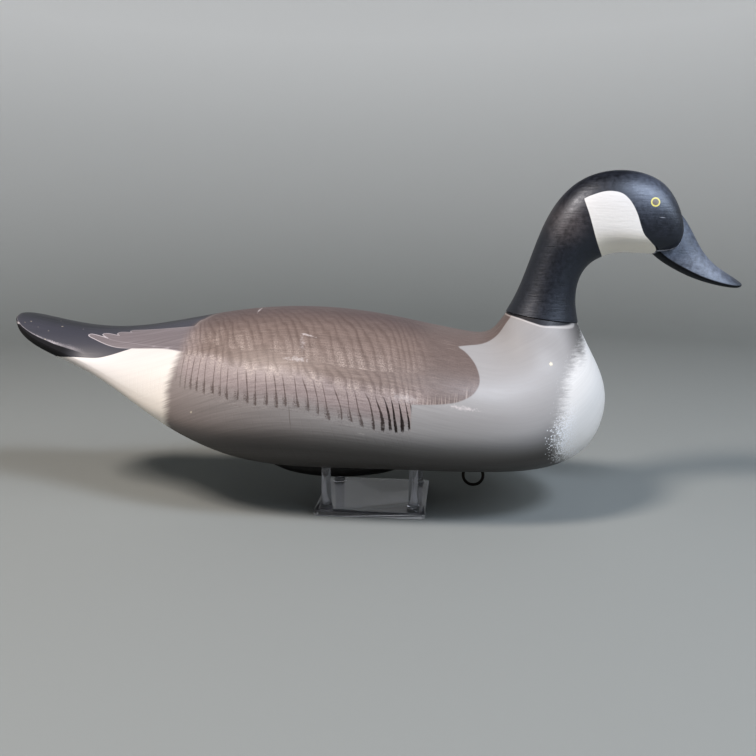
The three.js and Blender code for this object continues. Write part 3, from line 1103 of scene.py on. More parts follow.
    def texture(self) -> Socket:
        """How much lighter or darker the ground is, for its grain and for hatching along the bird 1.3 mm high.

        Returns:
            What the ground's colour is multiplied by.
        """
        add = self.add
        hatching = add(MAPPING, {0: self.flat, 3: (110.0, 760.0, 0.0)})
        hatching = add(NOISE, (hatching, 1.0, 1.0))
        grainy = add(RAMP, (self.grain, 0.3, 0.7, -0.13, 0.13))
        hatched = add(RAMP, (hatching, 0.3, 0.7, -0.1, 0.1))
        return self.chain(PLUS, grainy, hatched, 1.0)

    def hairlines(self) -> Socket:
        """Pale scratches along the bird, 0.6 mm wide, that handling has left.

        Returns:
            How far they cover a point.
        """
        add = self.add
        hair = add(MAPPING, {0: self.flat, 3: (45.0, 1300.0, 0.0)})
        hair = add(NOISE, (hair, 1.0, 1.0))
        hair = add(RAMP, (hair, 0.62, 0.72))
        spread = add(NOISE, (self.flat, 28.0, 1.0))
        return add(TIMES, (hair, add(RAMP, (spread, 0.47, 0.64, 0.0, 0.4))))

    def ticks(self, count: float, first: float, depth: float) -> Socket:
        """Small ticks that run down over the lower edge of the folded wing.

        Args:
            count: How many there would be in a metre.
            first: Place along the bird where they begin, in metres.
            depth: How strong they are.

        Returns:
            How far they cover a point.
        """
        add, chain = self.add, self.chain
        low_edge = add(SOFT_RAMP, (self.edge, 10.0, 1.0))
        low_edge = add(TIMES, (low_edge, add(RAMP, (self.below, 88 * MM, 100 * MM))))
        ticks = add(MAPPING, {0: self.tape, 3: (count, 45.0, 0.0)})
        ticks = add(NOISE, (ticks, 1.0, 1.0))
        ticks = add(SOFT_RAMP, (ticks, 0.5, 0.64))
        return chain(TIMES, ticks, low_edge, add(RAMP, (self.along, first, first + 7 * MM, 0.0, depth)))


@dataclass(frozen=True)
class BodyPaint:
    """Satin oil paint brushed over carved and sanded cedar.

    Close up it shows fine brush marks along the bird, rows of combed strokes on the back, and soft stippled edges
    where the white of the breast and the rump meets the grey.
    """

    flank_rear: str = "#8b807c"
    flank_front: str = "#a2a0a0"
    underside_painted_shade: str = "#3b3835"
    back: str = "#80726c"
    back_ridge: str = "#5f5251"
    folded_wing: str = "#716561"
    comb_ground: str = "#9b8f8e"
    comb_stroke: str = "#4a3b36"
    comb_darkest: str = "#241a18"
    powder: str = "#b9aca5"
    tail: str = "#464750"
    tail_top: str = "#2d2f34"
    tail_rim_painted_shade: str = "#0d0d11"
    wing: str = "#777073"
    wing_streak: str = "#857e81"
    feather_rim: str = "#c9c3c7"
    rump_white: str = "#dcd8d5"
    rump_low_painted_light: str = "#f4ede4"
    breast_white: str = "#dfdddb"
    dot_white: str = "#eff0f4"
    neck_rim_painted_highlight: str = "#d9d5d3"
    satin: float = 0.46
    marks: tuple[Mark, ...] = (
        Mark((166.7 * MM, 83.4 * MM), 2 * MM, 1.2 * MM, 49),
        Mark((-136 * MM, 128.5 * MM), 1.1 * MM, 0.8 * MM, 0, 0.6),
        Mark((-93.2 * MM, 14 * MM), 8 * MM, 0.9 * MM, 88, 0.8, Layer.CHALKED_PAINT),
        Mark((-38.4 * MM, 69.7 * MM), 5.4 * MM, 1 * MM, 15, 0.75, Layer.CHALKED_PAINT),
        Mark((-41.5 * MM, 79 * MM), 7 * MM, 1.6 * MM, 80, 0.34, Layer.CHALKED_PAINT),
        Mark((-44 * MM, 97 * MM), 7.5 * MM, 1.8 * MM, 4, 0.55, Layer.CHALKED_PAINT),
        Mark((93 * MM, 115.7 * MM), 9 * MM, 1.5 * MM, -5, 0.8, Layer.CHALKED_PAINT),
        Mark((47 * MM, 118.5 * MM), 9 * MM, 3 * MM, -4, 0.45, Layer.CHALKED_PAINT),
        Mark((12.3 * MM, 155.4 * MM), 3.5 * MM, 0.6 * MM, 3, 0.4, Layer.CHALKED_PAINT),
        Mark((-47.4 * MM, 146 * MM), 11 * MM, 0.4 * MM, 88, 0.45, Layer.OLD_GRIME),
        Mark((-322.6 * MM, 26.6 * MM), 2 * MM, 1.1 * MM, 30, 0.75, Layer.CHALKED_PAINT),
        Mark((-317.1 * MM, 24.5 * MM), 0.6 * MM, 0.5 * MM, 0, 0.45),
        Mark((-312.7 * MM, 20.9 * MM), 0.8 * MM, 0.6 * MM, 0, 0.45),
        Mark((-302.6 * MM, 27.5 * MM), 0.5 * MM, 0.4 * MM, 0, 0.35),
        Mark((-291.6 * MM, 29.8 * MM), 0.6 * MM, 0.5 * MM, 0, 0.4),
        Mark((-283.4 * MM, 18.2 * MM), 1 * MM, 0.6 * MM, 0, 0.5),
        Mark((-289.8 * MM, 41.4 * MM), 0.7 * MM, 0.6 * MM, 0, 0.5),
    )

    def material(self) -> bpy.types.Material:
        """Mixes the paint for the whole body.

        Returns:
            The material.
        """
        finish = Finish("satin_oil_paint_on_cedar")
        add = finish.add
        tape = add(ATTRIBUTE, attribute_name="tape", output="Vector")
        along, below, from_widest = add(SPLIT, (tape,)).node.outputs
        breast, rump, tail = add(SPLIT, (add(ATTRIBUTE, attribute_name="fields", output="Vector"),)).node.outputs

        # Brush marks follow the bird: fine ones 1.6 mm wide, and broad uneven ones 8 mm wide. They are faint on
        # the smooth shoulder.
        brushed = add(MAPPING, {0: tape, 3: (22.0, 620.0, 0.0)})
        marks = add(NOISE, (brushed, 1.0, 2.0, 0.6))
        broad = add(MAPPING, {0: tape, 3: (9.0, 120.0, 0.0)})
        clouds = add(NOISE, (broad, 1.0, 2.0))
        smooth = add(SOFT_RAMP, (along, 30 * MM, 100 * MM, 1.0, 0.3))
        not_white = add(RAMP, (rump, 2.0, 8.0, 1.0, 0.25))
        smooth = add(TIMES, (smooth, not_white))

        # The grey is lighter towards the breast, and a little earlier high on the flank.
        rear = add(RAMP, (from_widest, -10 * MM, 30 * MM, 45 * MM, 0.0))
        place = add(PLUS, (along, rear))
        toward_front = add(SOFT_RAMP, (place, -190 * MM, 90 * MM))
        flank = add(BLEND, (toward_front, linear(self.flank_rear), linear(self.flank_front)))
        flank = self.belly(finish, flank, from_widest)
        colour = self.breast(finish, flank, breast, below)
        colour = self.rump(finish, colour, rump, tape)
        colour = self.tail_and_wing(finish, colour, tail, tape)
        colour, relief = self.mantle(finish, colour, flank, tape)

        fine = add(RAMP, (marks, 0.3, 0.7, -0.085, 0.085))
        coarse = add(RAMP, (clouds, 0.3, 0.7, -0.05, 0.05))
        tone = add(PLUS, (fine, coarse))
        tone = add(TIMES_PLUS, (tone, smooth, 1.0))
        # Painted shade: on the front, the shoulder is darkened near the ridge and lightened a little lower down, to
        # even out the light from above.
        shoulder = add(RAMP, (below, 50 * MM, 125 * MM, -0.1, 0.03))
        on_front = add(SOFT_RAMP, (along, 100 * MM, 150 * MM))
        tone = add(TIMES_PLUS, (shoulder, on_front, tone))
        colour = add(SHADE, (colour, tone))
        colour = self.neck_foot(finish, colour)
        colour, dull = self.wear(finish, colour, tape)

        roughness = add(RAMP, (marks, 0.3, 0.7, self.satin - 0.06, self.satin + 0.08))
        roughness = add(BETWEEN, (dull, roughness, 0.95))
        brushed_height = add(TIMES, (marks, smooth))
        height = add(PLUS, (brushed_height, relief))
        bump = add(BUMP, (0.22, 0.6 * MM, height))
        finish.set(base_color=colour, roughness=roughness, normal=bump)
        return finish.material

    def belly(self, finish: Finish, colour: Socket, from_widest: Socket) -> Socket:
        """Darkens the grey under the flanks: painted shade where the underside turns away from the lights.

        Args:
            finish: The material.
            colour: The paint so far.
            from_widest: Distance below the widest level.

        Returns:
            The colour.
        """
        # Painted shade below the widest level.
        low = finish.add(SOFT_RAMP, (from_widest, 6 * MM, 42 * MM, 0.0, 0.9))
        return finish.add(BLEND, (low, colour, linear(self.underside_painted_shade)))

    def breast(self, finish: Finish, colour: Socket, edge: Socket, below: Socket) -> Socket:
        """Paints the white of the breast, stippled into the grey low down and wisped into it higher up.

        Args:
            finish: The material.
            colour: The paint so far.
            edge: Millimetres inside the breast's border.
            below: Distance down from the ridge.

        Returns:
            The colour.
        """
        add = finish.add
        spot = add(PLACE)
        # A brush tip leaves dots 1.2 mm apart.
        dots = add(CELLS, {"Vector": spot, "Scale": 820.0}).node
        chance = add(SPLIT, (dots.outputs["Color"],)).node.outputs[0]
        reach = add(TIMES_PLUS, (chance, -19.0, 8.0))
        dotted = add(PLUS, (edge, reach))
        dotted = add(SOFT_RAMP, (dotted, -0.6, 0.6))
        small = add(SOFT_RAMP, (dots.outputs["Distance"], 0.62, 0.42))
        dotted = add(TIMES, (dotted, small))
        wisp = add(MAPPING, {0: spot, 3: (110.0, 110.0, 700.0)})
        wisps = add(NOISE, (wisp, 1.0, 2.0))
        wavy = add(TIMES_PLUS, (wisps, 16.0, edge))
        solid = add(SOFT_RAMP, (wavy, 3.0, 20.0))
        colour = add(BLEND, (solid, colour, linear(self.breast_white)))
        low = add(SOFT_RAMP, (below, 118 * MM, 140 * MM, 0.1))
        dotted = add(TIMES, (dotted, low))
        deep = add(RAMP, (edge, 8.0, 22.0, 1.0, 0.0))
        dotted = add(TIMES, (dotted, deep))
        return add(BLEND, (dotted, colour, linear(self.dot_white)))

    def rump(self, finish: Finish, colour: Socket, edge: Socket, tape: Socket) -> Socket:
        """Paints the white of the rump; the grey is combed over its edge.

        Args:
            finish: The material.
            colour: The paint so far.
            edge: Millimetres inside the rump's border.
            tape: Place on the body.

        Returns:
            The colour.
        """
        add = finish.add
        below = add(SPLIT, (tape,)).node.outputs[1]
        combed = add(MAPPING, {0: tape, 3: (60.0, 700.0, 0.0)})
        streaks = add(NOISE, (combed, 1.0, 2.0))
        ragged = add(TIMES_PLUS, (streaks, 9.0, edge))
        white = add(SOFT_RAMP, (ragged, -1.0, 10.5))
        # Painted light: the lower rump is painted brighter, to stand in for light that does not reach it.
        low = add(RAMP, (below, 60 * MM, 110 * MM))
        whites = add(BLEND, (low, linear(self.rump_white), linear(self.rump_low_painted_light)))
        return add(BLEND, (white, colour, whites))

    def tail_and_wing(self, finish: Finish, colour: Socket, edge: Socket, tape: Socket) -> Socket:
        """Paints the black of the tail, and over it the crossed wing tips with their pale rims.

        Args:
            finish: The material.
            colour: The paint so far.
            edge: Millimetres inside the tail's border.
            tape: Place on the body.

        Returns:
            The colour.
        """
        add, chain = finish.add, finish.chain
        along, below, _ = add(SPLIT, (tape,)).node.outputs
        black = add(SOFT_RAMP, (edge, -0.35, 0.35))
        high = add(SOFT_RAMP, (below, 2 * MM, 26 * MM))
        dark = add(BLEND, (high, linear(self.tail_top), linear(self.tail)))
        colour = add(BLEND, (black, colour, dark))
        wing = add(ATTRIBUTE, attribute_name="wing", output="Fac")
        first = add(ATTRIBUTE, attribute_name="first_tip", output="Fac")
        brushed = add(MAPPING, {0: tape, 2: (0.0, 0.0, -0.33), 3: (22.0, 620.0, 0.0)})
        streaks = add(NOISE, (brushed, 1.0, 2.0))
        streaky = add(RAMP, (streaks, 0.4, 0.7))
        feathers = add(BLEND, (streaky, linear(self.wing), linear(self.wing_streak)))
        area = add(SOFT_RAMP, (wing, -0.25, 0.25))
        colour = add(BLEND, (area, colour, feathers))
        # The pale rims are strongest at the tips and fade within a few centimetres; only the outer one runs on.
        faded = ((first, -250 * MM, 20 * MM, 0.16), (wing, -235 * MM, 30 * MM, 0.34))
        for line, tip, run, least in faded:
            off = add(MINUS, (line, 0.3))
            off = add(SIZE_OF, (off,))
            rim = add(SOFT_RAMP, (off, 0.6, 0.1))
            fade = add(SOFT_RAMP, (along, tip, tip + run, 0.8, least))
            rim = chain(TIMES, rim, fade, area)
            colour = add(BLEND, (rim, colour, linear(self.feather_rim)))
        return colour

    def mantle(self, finish: Finish, colour: Socket, flank: Socket, tape: Socket) -> tuple[Socket, Socket]:
        """Paints the brown of the back and folded wings, with rows of combed strokes.

        Args:
            finish: The material.
            colour: The paint so far.
            flank: The flank's own colour, which the lowest row fades into.
            tape: Place on the body.

        Returns:
            The colour, and the relief of the strokes.
        """
        add = finish.add
        comb = Combing(finish, tape)
        high = add(SOFT_RAMP, (comb.below, 12 * MM, 70 * MM))
        ground = add(BLEND, (high, linear(self.back_ridge), linear(self.back)))
        ground = add(BLEND, (comb.lobe, linear(self.folded_wing), ground))
        pale = add(SOFT_RAMP, (comb.rows, 3.4, 4.15))
        pale = add(TIMES, (pale, comb.lobe))
        worn_rear = add(SOFT_RAMP, (comb.along, -125 * MM, -150 * MM, 0.0, 0.65))
        worn_rear = add(TIMES, (worn_rear, high))
        pale = add(LARGER, (pale, worn_rear))
        ground = add(BLEND, (pale, ground, linear(self.comb_ground)))
        ground = add(BLEND, (comb.powder(), ground, linear(self.powder)))
        fading = add(SOFT_RAMP, (comb.rows, 4.4, 4.95, 0.0, 0.9))
        ground = add(BLEND, (fading, ground, flank))
        ground = add(SHADE, (ground, comb.texture()))

        line = comb.lowest_row()
        ink = add(BLEND, (comb.forward, linear(self.comb_stroke), linear(self.comb_darkest)))
        painted = add(BLEND, (comb.rows_above(), ground, linear(self.comb_stroke)))
        painted = add(BLEND, (line, painted, ink))
        painted = add(BLEND, (comb.hairlines(), painted, linear(self.powder)))
        # Pale ticks run down over the lower edge of the folded wing, with dark ones at its front.
        pale_ticks = comb.ticks(count=650.0, first=49 * MM, depth=0.5)
        painted = add(BLEND, (pale_ticks, painted, linear(self.powder)))
        dark_ticks = comb.ticks(count=520.0, first=86 * MM, depth=0.45)
        painted = add(BLEND, (dark_ticks, painted, linear(self.comb_stroke)))

        # The border is crisp round the folded wing and soft at the rear and under the combed row.
        softness = add(RAMP, (comb.along, -115 * MM, -140 * MM, 0.9, 11.0))
        inner = add(OVER, (comb.edge, softness))
        covered = add(SOFT_RAMP, (inner, -0.5, 1.0))
        relief = add(TIMES, (line, -0.6))
        return add(BLEND, (covered, colour, painted)), relief

    def neck_foot(self, finish: Finish, colour: Socket) -> Socket:
        """Brings the neck's black down over the joint, to a curved edge with a pale line below it, a painted
        highlight on the thick paint's edge.

        Args:
            finish: The material.
            colour: The paint so far.

        Returns:
            The colour.
        """
        add = finish.add
        edge = add(ATTRIBUTE, attribute_name="neck", output="Fac")
        # Painted highlight: a pale line just below the black's edge.
        off = add(PLUS, (edge, 0.6))
        off = add(SIZE_OF, (off,))
        rim = add(SOFT_RAMP, (off, 0.6, 0.15, 0.0, 0.4))
        colour = add(BLEND, (rim, colour, linear(self.neck_rim_painted_highlight)))
        black = add(SOFT_RAMP, (edge, -0.25, 0.25))
        return add(BLEND, (black, colour, linear(NECK_BLACK)))

    def wear(self, finish: Finish, colour: Socket, tape: Socket) -> tuple[Socket, Socket]:
        """Paints along the tail's edge a bright line, part wear and part painted highlight, with painted shade
        below it, and adds small chips and scuffs.

        Args:
            finish: The material.
            colour: The paint so far.
            tape: Place on the body.

        Returns:
            The colour, and how far it is the dull black of the painted shade under the tail's rim.
        """
        add, chain = finish.add, finish.chain
        along, below, _ = add(SPLIT, (tape,)).node.outputs
        flat = add(COMBINE, (along, below))
        uneven = add(NOISE, (flat, 900.0, 2.0))
        uneven = add(RAMP, (uneven, 0.3, 0.7, -0.35, 0.35))
        fields = add(ATTRIBUTE, attribute_name="fields", output="Vector")
        tail_area = add(RAMP, (add(SPLIT, (fields,)).node.outputs[2], -0.35, 0.35))
        colour, shaded_under_rim = self.tail_edge(finish, colour, tape, tail_area, uneven)

        # Specks up to 1 mm across on the tail, about one for each square of 15 mm.
        specks = add(CELLS, {"Vector": flat, "Scale": 68.0, "Randomness": 1.0}).node
        few = add(SPLIT, (specks.outputs["Color"],)).node.outputs[0]
        size = add(RAMP, (few, 0.5, 0.0, 0.0, 0.06))
        speck = add(MINUS, (size, specks.outputs["Distance"]))
        speck = add(RAMP, (speck, -0.015, 0.02))
        on_tail = add(RAMP, (along, -240 * MM, -260 * MM, 0.0, 0.6))
        speck = chain(TIMES, speck, on_tail, tail_area)
        colour = add(BLEND, (speck, colour, linear(self.feather_rim)))
        return self.chips(finish, colour, flat, uneven), shaded_under_rim

    def tail_edge(
        self, finish: Finish, colour: Socket, tape: Socket, tail_area: Socket, uneven: Socket
    ) -> tuple[Socket, Socket]:
        """Paints the tail's rim black as painted shade, below a bright line that is partly worn paint and partly a
        painted highlight on the edge.

        Args:
            finish: The material.
            colour: The paint so far.
            tape: Place on the body.
            tail_area: How far a point is on the tail.
            uneven: Small noise that makes the line ragged.

        Returns:
            The colour, and how far it is the painted shade of the rim.
        """
        add, chain = finish.add, finish.chain
        along, below, from_widest = add(SPLIT, (tape,)).node.outputs
        inside = add(RAMP, (along, -325 * MM, -285 * MM, 1.8 * MM, 5.2 * MM))
        farther = add(RAMP, (along, -280 * MM, -255 * MM, 0.0, 3 * MM))
        edge = chain(PLUS, from_widest, inside, farther)
        on_paddle = add(SOFT_RAMP, (along, -248 * MM, -272 * MM, 0.0, 0.94))
        shaded_under_rim = add(RAMP, (edge, 0.0, 0.8 * MM))
        shaded_under_rim = add(TIMES, (shaded_under_rim, on_paddle))
        on_tail_rim = add(RAMP, (from_widest, 22 * MM, 20 * MM))
        shaded_under_rim = chain(TIMES, shaded_under_rim, on_tail_rim, tail_area)
        # Painted shade: the paddle's rim below the bright line is near black.
        colour = add(BLEND, (shaded_under_rim, colour, linear(self.tail_rim_painted_shade)))

        # The bright line, partly worn paint and partly a painted highlight, ends sharply at the black and fades
        # upwards.
        lower_side = add(LARGER, (edge, 0.0))
        edge = add(SIZE_OF, (edge,))
        edge = add(TIMES_PLUS, (lower_side, 4.0, edge))
        thin = add(RAMP, (along, -310 * MM, -262 * MM, 0.7 * MM, 4.2 * MM))
        edge = add(OVER, (edge, thin))
        edge = add(PLUS, (edge, uneven))
        sheen_and_wear = add(SOFT_RAMP, (edge, 1.1, 0.2))
        patchy = add(NOISE, (add(COMBINE, (along, below)), 90.0, 1.0))
        patchy = add(RAMP, (patchy, 0.38, 0.6, 0.45, 1.0))
        sheen_and_wear = add(TIMES, (sheen_and_wear, patchy))
        only_here = add(SOFT_RAMP, (along, -245 * MM, -280 * MM, 0.0, 0.55))
        sheen_and_wear = add(TIMES, (sheen_and_wear, only_here))
        return add(BLEND, (sheen_and_wear, colour, linear(self.feather_rim))), shaded_under_rim

    def chips(self, finish: Finish, colour: Socket, flat: Socket, uneven: Socket) -> Socket:
        """Puts each chip, scuff and scratch in its own place on the right side.

        Args:
            finish: The material.
            colour: The paint so far.
            flat: Place along the bird and down from the ridge.
            uneven: Small noise that makes the edges of the chips ragged.

        Returns:
            The colour.
        """
        add = finish.add
        side = add(SPLIT, (add(PLACE),)).node.outputs[1]
        right = add(RAMP, (side, 0.5 * MM, -0.5 * MM))
        coarse = add(NOISE, (flat, 420.0, 3.0, 0.7))
        coarse = add(RAMP, (coarse, 0.3, 0.7, -1.0, 1.0))
        for mark in self.marks:
            turned = (0.0, 0.0, math.radians(mark.slant))
            size = (mark.half_length, mark.half_width, 1.0)
            around = add(MAPPING, {0: flat, 1: (*mark.place, 0.0), 2: turned, 3: size}, vector_type="TEXTURE")
            reach = add(LENGTH, (around,))
            rubbed_thin = mark.shows is Layer.CHALKED_PAINT
            reach = add(PLUS, (reach, coarse if rubbed_thin else uneven))
            outer, inner = (1.4, 0.1) if rubbed_thin else (1.2, 0.6)
            bare = add(RAMP, (reach, outer, inner, 0.0, mark.strength))
            bare = add(TIMES, (bare, right))
            colour = add(BLEND, (bare, colour, linear(mark.shows.value)))
        return colour


@dataclass(frozen=True)
class HeadPaint:
    """Black satin oil paint on the neck, head and bill, with white cheeks and a painted eye on each side.

    It was laid on with a small stiff brush, so its sheen is streaky on the neck and mottled on the head.
    """

    bill: str = "#4a505c"
    bill_underside_painted_shade: str = "#050506"
    pale_wear_and_highlight: str = "#b9bcc6"
    sheen_and_wear: str = "#474d5a"
    crown_sheen_place: Point = (248 * MM, 286 * MM)
    neck_painted_sheen: str = "#454041"
    neck_sheen_place: Point = (180 * MM, 261 * MM)
    bill_painted_sheen: str = "#656b77"
    bill_sheen_place: Point = (300 * MM, 221 * MM)
    bill_tip: str = "#23262d"
    cheek_top_painted_shade: str = "#d9d8d7"
    cheek: str = "#ebeae8"
    cheek_low_painted_light: str = "#fdf6e8"
    eye_ring: str = "#d8cd62"
    eye_centre: str = "#665b49"
    eye_place: Point = (251.2 * MM, 278.1 * MM)
    eye_radius: float = 3.9 * MM
    eye_stroke: float = 1.15 * MM
    scratch_place: Point = (257.2 * MM, 265.4 * MM)
    scratch_half: Point = (2.6 * MM, 0.45 * MM)
    scratch_slant: float = math.radians(-6)

    def material(self) -> bpy.types.Material:
        """Mixes the paint for the head and neck.

        Returns:
            The material.
        """
        finish = Finish("satin_black_oil_paint_on_cedar")
        add = finish.add
        spot = add(PLACE)
        x, _, z = add(SPLIT, (spot,)).node.outputs
        # Brush marks 1.4 mm wide run round the neck; on the head the sheen is mottled in patches of 4 mm.
        brushed = add(MAPPING, {0: spot, 2: (0.0, 0.5, 0.0), 3: (90.0, 90.0, 700.0)})
        marks = add(NOISE, (brushed, 1.0, 3.0))
        mottling = add(NOISE, (spot, 260.0, 4.0, 0.65))
        clouds = add(NOISE, (spot, 45.0, 3.0))

        # Painted sheen: the crown above the eye and the back of the neck are painted paler where the lights gleam
        # on them.
        colour = self.paint_sheen(finish, linear(NECK_BLACK), (x, z), self.crown_sheen_place, 30 * MM, self.sheen_and_wear)
        colour = self.paint_sheen(finish, colour, (x, z), self.neck_sheen_place, 26 * MM, self.neck_painted_sheen)
        # The bill is greyer, with painted sheen on its side, darker at the tip, and painted shade underneath.
        step = add(ATTRIBUTE, attribute_name="bill", output="Fac")
        on_bill = add(RAMP, (step, -0.2, 0.3))
        bill = self.paint_sheen(finish, linear(self.bill), (x, z), self.bill_sheen_place, 28 * MM, self.bill_painted_sheen)
        tip = add(SOFT_RAMP, (x, 314 * MM, 331 * MM, 0.0, 0.8))
        bill = add(BLEND, (tip, bill, linear(self.bill_tip)))
        colour = add(BLEND, (on_bill, colour, bill))
        dust = add(RAMP, (mottling, 0.32, 0.68, 0.6, 1.6))
        colour = add(SHADE, (colour, dust))
        # Painted shade: the bill's underside is painted near black and dull.
        under = add(ATTRIBUTE, attribute_name="bill_under", output="Fac")
        shadow_side = add(SOFT_RAMP, (under, -0.7, 0.1))
        colour = add(BLEND, (shadow_side, colour, linear(self.bill_underside_painted_shade)))
        colour = self.step_nicks_and_highlight(finish, colour, step, mottling)

        cheek = add(ATTRIBUTE, attribute_name="cheek", output="Fac")
        wobble = add(TIMES_PLUS, (clouds, 0.8, -0.4))
        cheek = add(PLUS, (cheek, wobble))
        white = add(SOFT_RAMP, (cheek, -0.3, 0.3))
        # Painted shade and painted light: the top of each cheek patch is greyer under the strong light from above,
        # and its lowest part warmer and brighter for the light bounced up from the floor.
        high = add(SOFT_RAMP, (z, 258 * MM, 284 * MM))
        patch = add(BLEND, (high, linear(self.cheek), linear(self.cheek_top_painted_shade)))
        low = add(SOFT_RAMP, (z, 258 * MM, 240 * MM))
        patch = add(BLEND, (low, patch, linear(self.cheek_low_painted_light)))
        colour = add(BLEND, (white, colour, patch))
        colour = self.eye(finish, colour, x, z)

        roughness = add(RAMP, (mottling, 0.3, 0.7, 0.38, 0.54))
        roughness = add(BETWEEN, (shadow_side, roughness, 0.95))
        height = add(TIMES_PLUS, (mottling, 0.6, marks))
        bump = add(BUMP, (0.3, 0.6 * MM, height))
        finish.set(
            base_color=colour,
            roughness=roughness,
            specular_ior_level=0.9,
            specular_tint=(0.82, 0.89, 1.0, 1.0),
            normal=bump,
        )
        return finish.material

    def paint_sheen(
        self, finish: Finish, colour: object, side: tuple[Socket, Socket], place: Point, reach: float, paint: str
    ) -> Socket:
        """Paints a paler patch of sheen round one place, the same on both sides.

        Args:
            finish: The material.
            colour: The paint so far.
            side: Place along the bird, and height.
            place: The middle of the painted sheen, along the bird and up.
            reach: How far from the middle it has faded out, in metres.
            paint: The paler colour.

        Returns:
            The colour.
        """
        add = finish.add
        flat = add(COMBINE, {0: side[0], 2: side[1]})
        away = add(APART, (flat, (place[0], 0.0, place[1])))
        sheen_and_wear = add(SOFT_RAMP, (away, reach, 4 * MM, 0.0, 0.85))
        return add(BLEND, (sheen_and_wear, colour, linear(paint)))

    def step_nicks_and_highlight(self, finish: Finish, colour: Socket, step: Socket, mottling: Socket) -> Socket:
        """Paints a broken bright line along the step where the face stands over the bill: nicks in the paint, and a
        painted highlight on the step's edge.

        Args:
            finish: The material.
            colour: The paint so far.
            step: Millimetres out from the step, onto the bill.
            mottling: The paint's mottling.

        Returns:
            The colour.
        """
        add = finish.add
        off = add(PLUS, (step, 0.9))
        off = add(SIZE_OF, (off,))
        line = add(SOFT_RAMP, (off, 1.5, 0.5))
        broken = add(RAMP, (mottling, 0.42, 0.56, 0.1, 1.0))
        line = add(TIMES, (line, broken))
        return add(BLEND, (line, colour, linear(self.pale_wear_and_highlight)))

    def eye(self, finish: Finish, colour: Socket, x: Socket, z: Socket) -> Socket:
        """Paints the eye, a thin ring round a dull centre, and the small scratch below it.

        Args:
            finish: The material.
            colour: The paint so far.
            x: Place along the bird.
            z: Height.

        Returns:
            The colour.
        """
        add = finish.add
        away = add(COMBINE, {0: x, 2: z})
        away = add(APART, (away, (self.eye_place[0], 0.0, self.eye_place[1])))
        soft = 0.2 * MM
        centre_radius = self.eye_radius - self.eye_stroke
        for radius, paint in ((self.eye_radius, self.eye_ring), (centre_radius, self.eye_centre)):
            inside = add(SOFT_RAMP, (away, radius + soft, radius - soft))
            colour = add(BLEND, (inside, colour, linear(paint)))
        middle, turned, size = (*self.scratch_place, 0.0), (0.0, 0.0, self.scratch_slant), (*self.scratch_half, 1.0)
        scratch = add(COMBINE, (x, z))
        scratch = add(MAPPING, {0: scratch, 1: middle, 2: turned, 3: size}, vector_type="TEXTURE")
        scratch = add(LENGTH, (scratch,))
        scratch = add(RAMP, (scratch, 1.2, 0.5, 0.0, 0.45))
        return add(BLEND, (scratch, colour, linear(self.pale_wear_and_highlight)))


@dataclass(frozen=True)
class CastLead:
    """Cast lead under black paint. It gives a dull dark form, with the shallow dimples of a sand mould."""

    colour: str = "#1c1a19"

    def material(self) -> bpy.types.Material:
        """Makes the weight's material.

        Returns:
            The material.
        """
        finish = Finish("painted_cast_lead")
        add = finish.add
        # The sand left shallow dimples about 4 mm across.
        dimples = add(NOISE, (add(PLACE), 260.0, 3.0))
        tone = add(RAMP, (dimples, 0.3, 0.7, 0.75, 1.3))
        colour = add(SHADE, (linear(self.colour)[:3], tone))
        bump = add(BUMP, (0.5, 0.5 * MM, dimples))
        finish.set(base_color=colour, roughness=0.6, normal=bump)
        return finish.material


@dataclass(frozen=True)
class DarkIronWire:
    """Drawn iron wire gone dark brown with age. It gives nearly black loops with a weak, broken gleam."""

    colour: str = "#2b2622"

    def material(self) -> bpy.types.Material:
        """Makes the ring's and the staple's material.

        Returns:
            The material.
        """
        finish = Finish("aged_iron_wire")
        add = finish.add
        # Grains of rust about 1 mm across darken the wire and dull it.
        rust = add(NOISE, (add(PLACE), 900.0, 3.0))
        tone = add(RAMP, (rust, 0.3, 0.7, 0.6, 1.4))
        colour = add(SHADE, (linear(self.colour)[:3], tone))
        roughness = add(RAMP, (rust, 0.3, 0.7, 0.4, 0.65))
        finish.set(base_color=colour, roughness=roughness, metallic=0.7)
        return finish.material


@dataclass(frozen=True)
class ClearAcrylic:
    """Moulded clear acrylic with polished faces. It shows what is behind it, bent, and its edges gather light."""

    colour: str = "#f4f4fa"

    def material(self) -> bpy.types.Material:
        """Makes the stand's material.

        Returns:
            The material.
        """
        # The little light that does not pass gives the plate and the posts a faint pale body.
        finish = Finish("clear_moulded_acrylic")
        finish.set(base_color=linear(self.colour), roughness=0.02, ior=1.46, transmission_weight=0.92)
        return finish.material


@dataclass(frozen=True)
class MattBoard:
    """Matt card behind and under the bird. It gives no reflection; it is lighter up the wall than on the floor as
    painted light, and dark on the near side as painted shade.
    """

    floor: str = "#8f9392"
    wall: str = "#dfe2e2"
    near: str = "#4a4c4c"

    def material(self) -> bpy.types.Material:
        """Makes the sweep's material.

        Returns:
            The material.
        """
        finish = Finish("matt_background_board")
        _, across, height = finish.add(SPLIT, (finish.add(PLACE),)).node.outputs
        # Painted light: the board is painted lighter up the wall.
        painted_light_upward = finish.add(RAMP, (height, 20 * MM, 900 * MM))
        colour = finish.add(BLEND, (painted_light_upward, linear(self.floor), linear(self.wall)))
        # Painted shade: the board is painted dark on the near side, standing for the dark room there.
        painted_dark_near_side = finish.add(SOFT_RAMP, (across, -700 * MM, -1700 * MM))
        colour = finish.add(BLEND, (painted_dark_near_side, colour, linear(self.near)))
        finish.set(base_color=colour, roughness=0.85)
        return finish.material


# Wire and stand, which repeat or follow a path


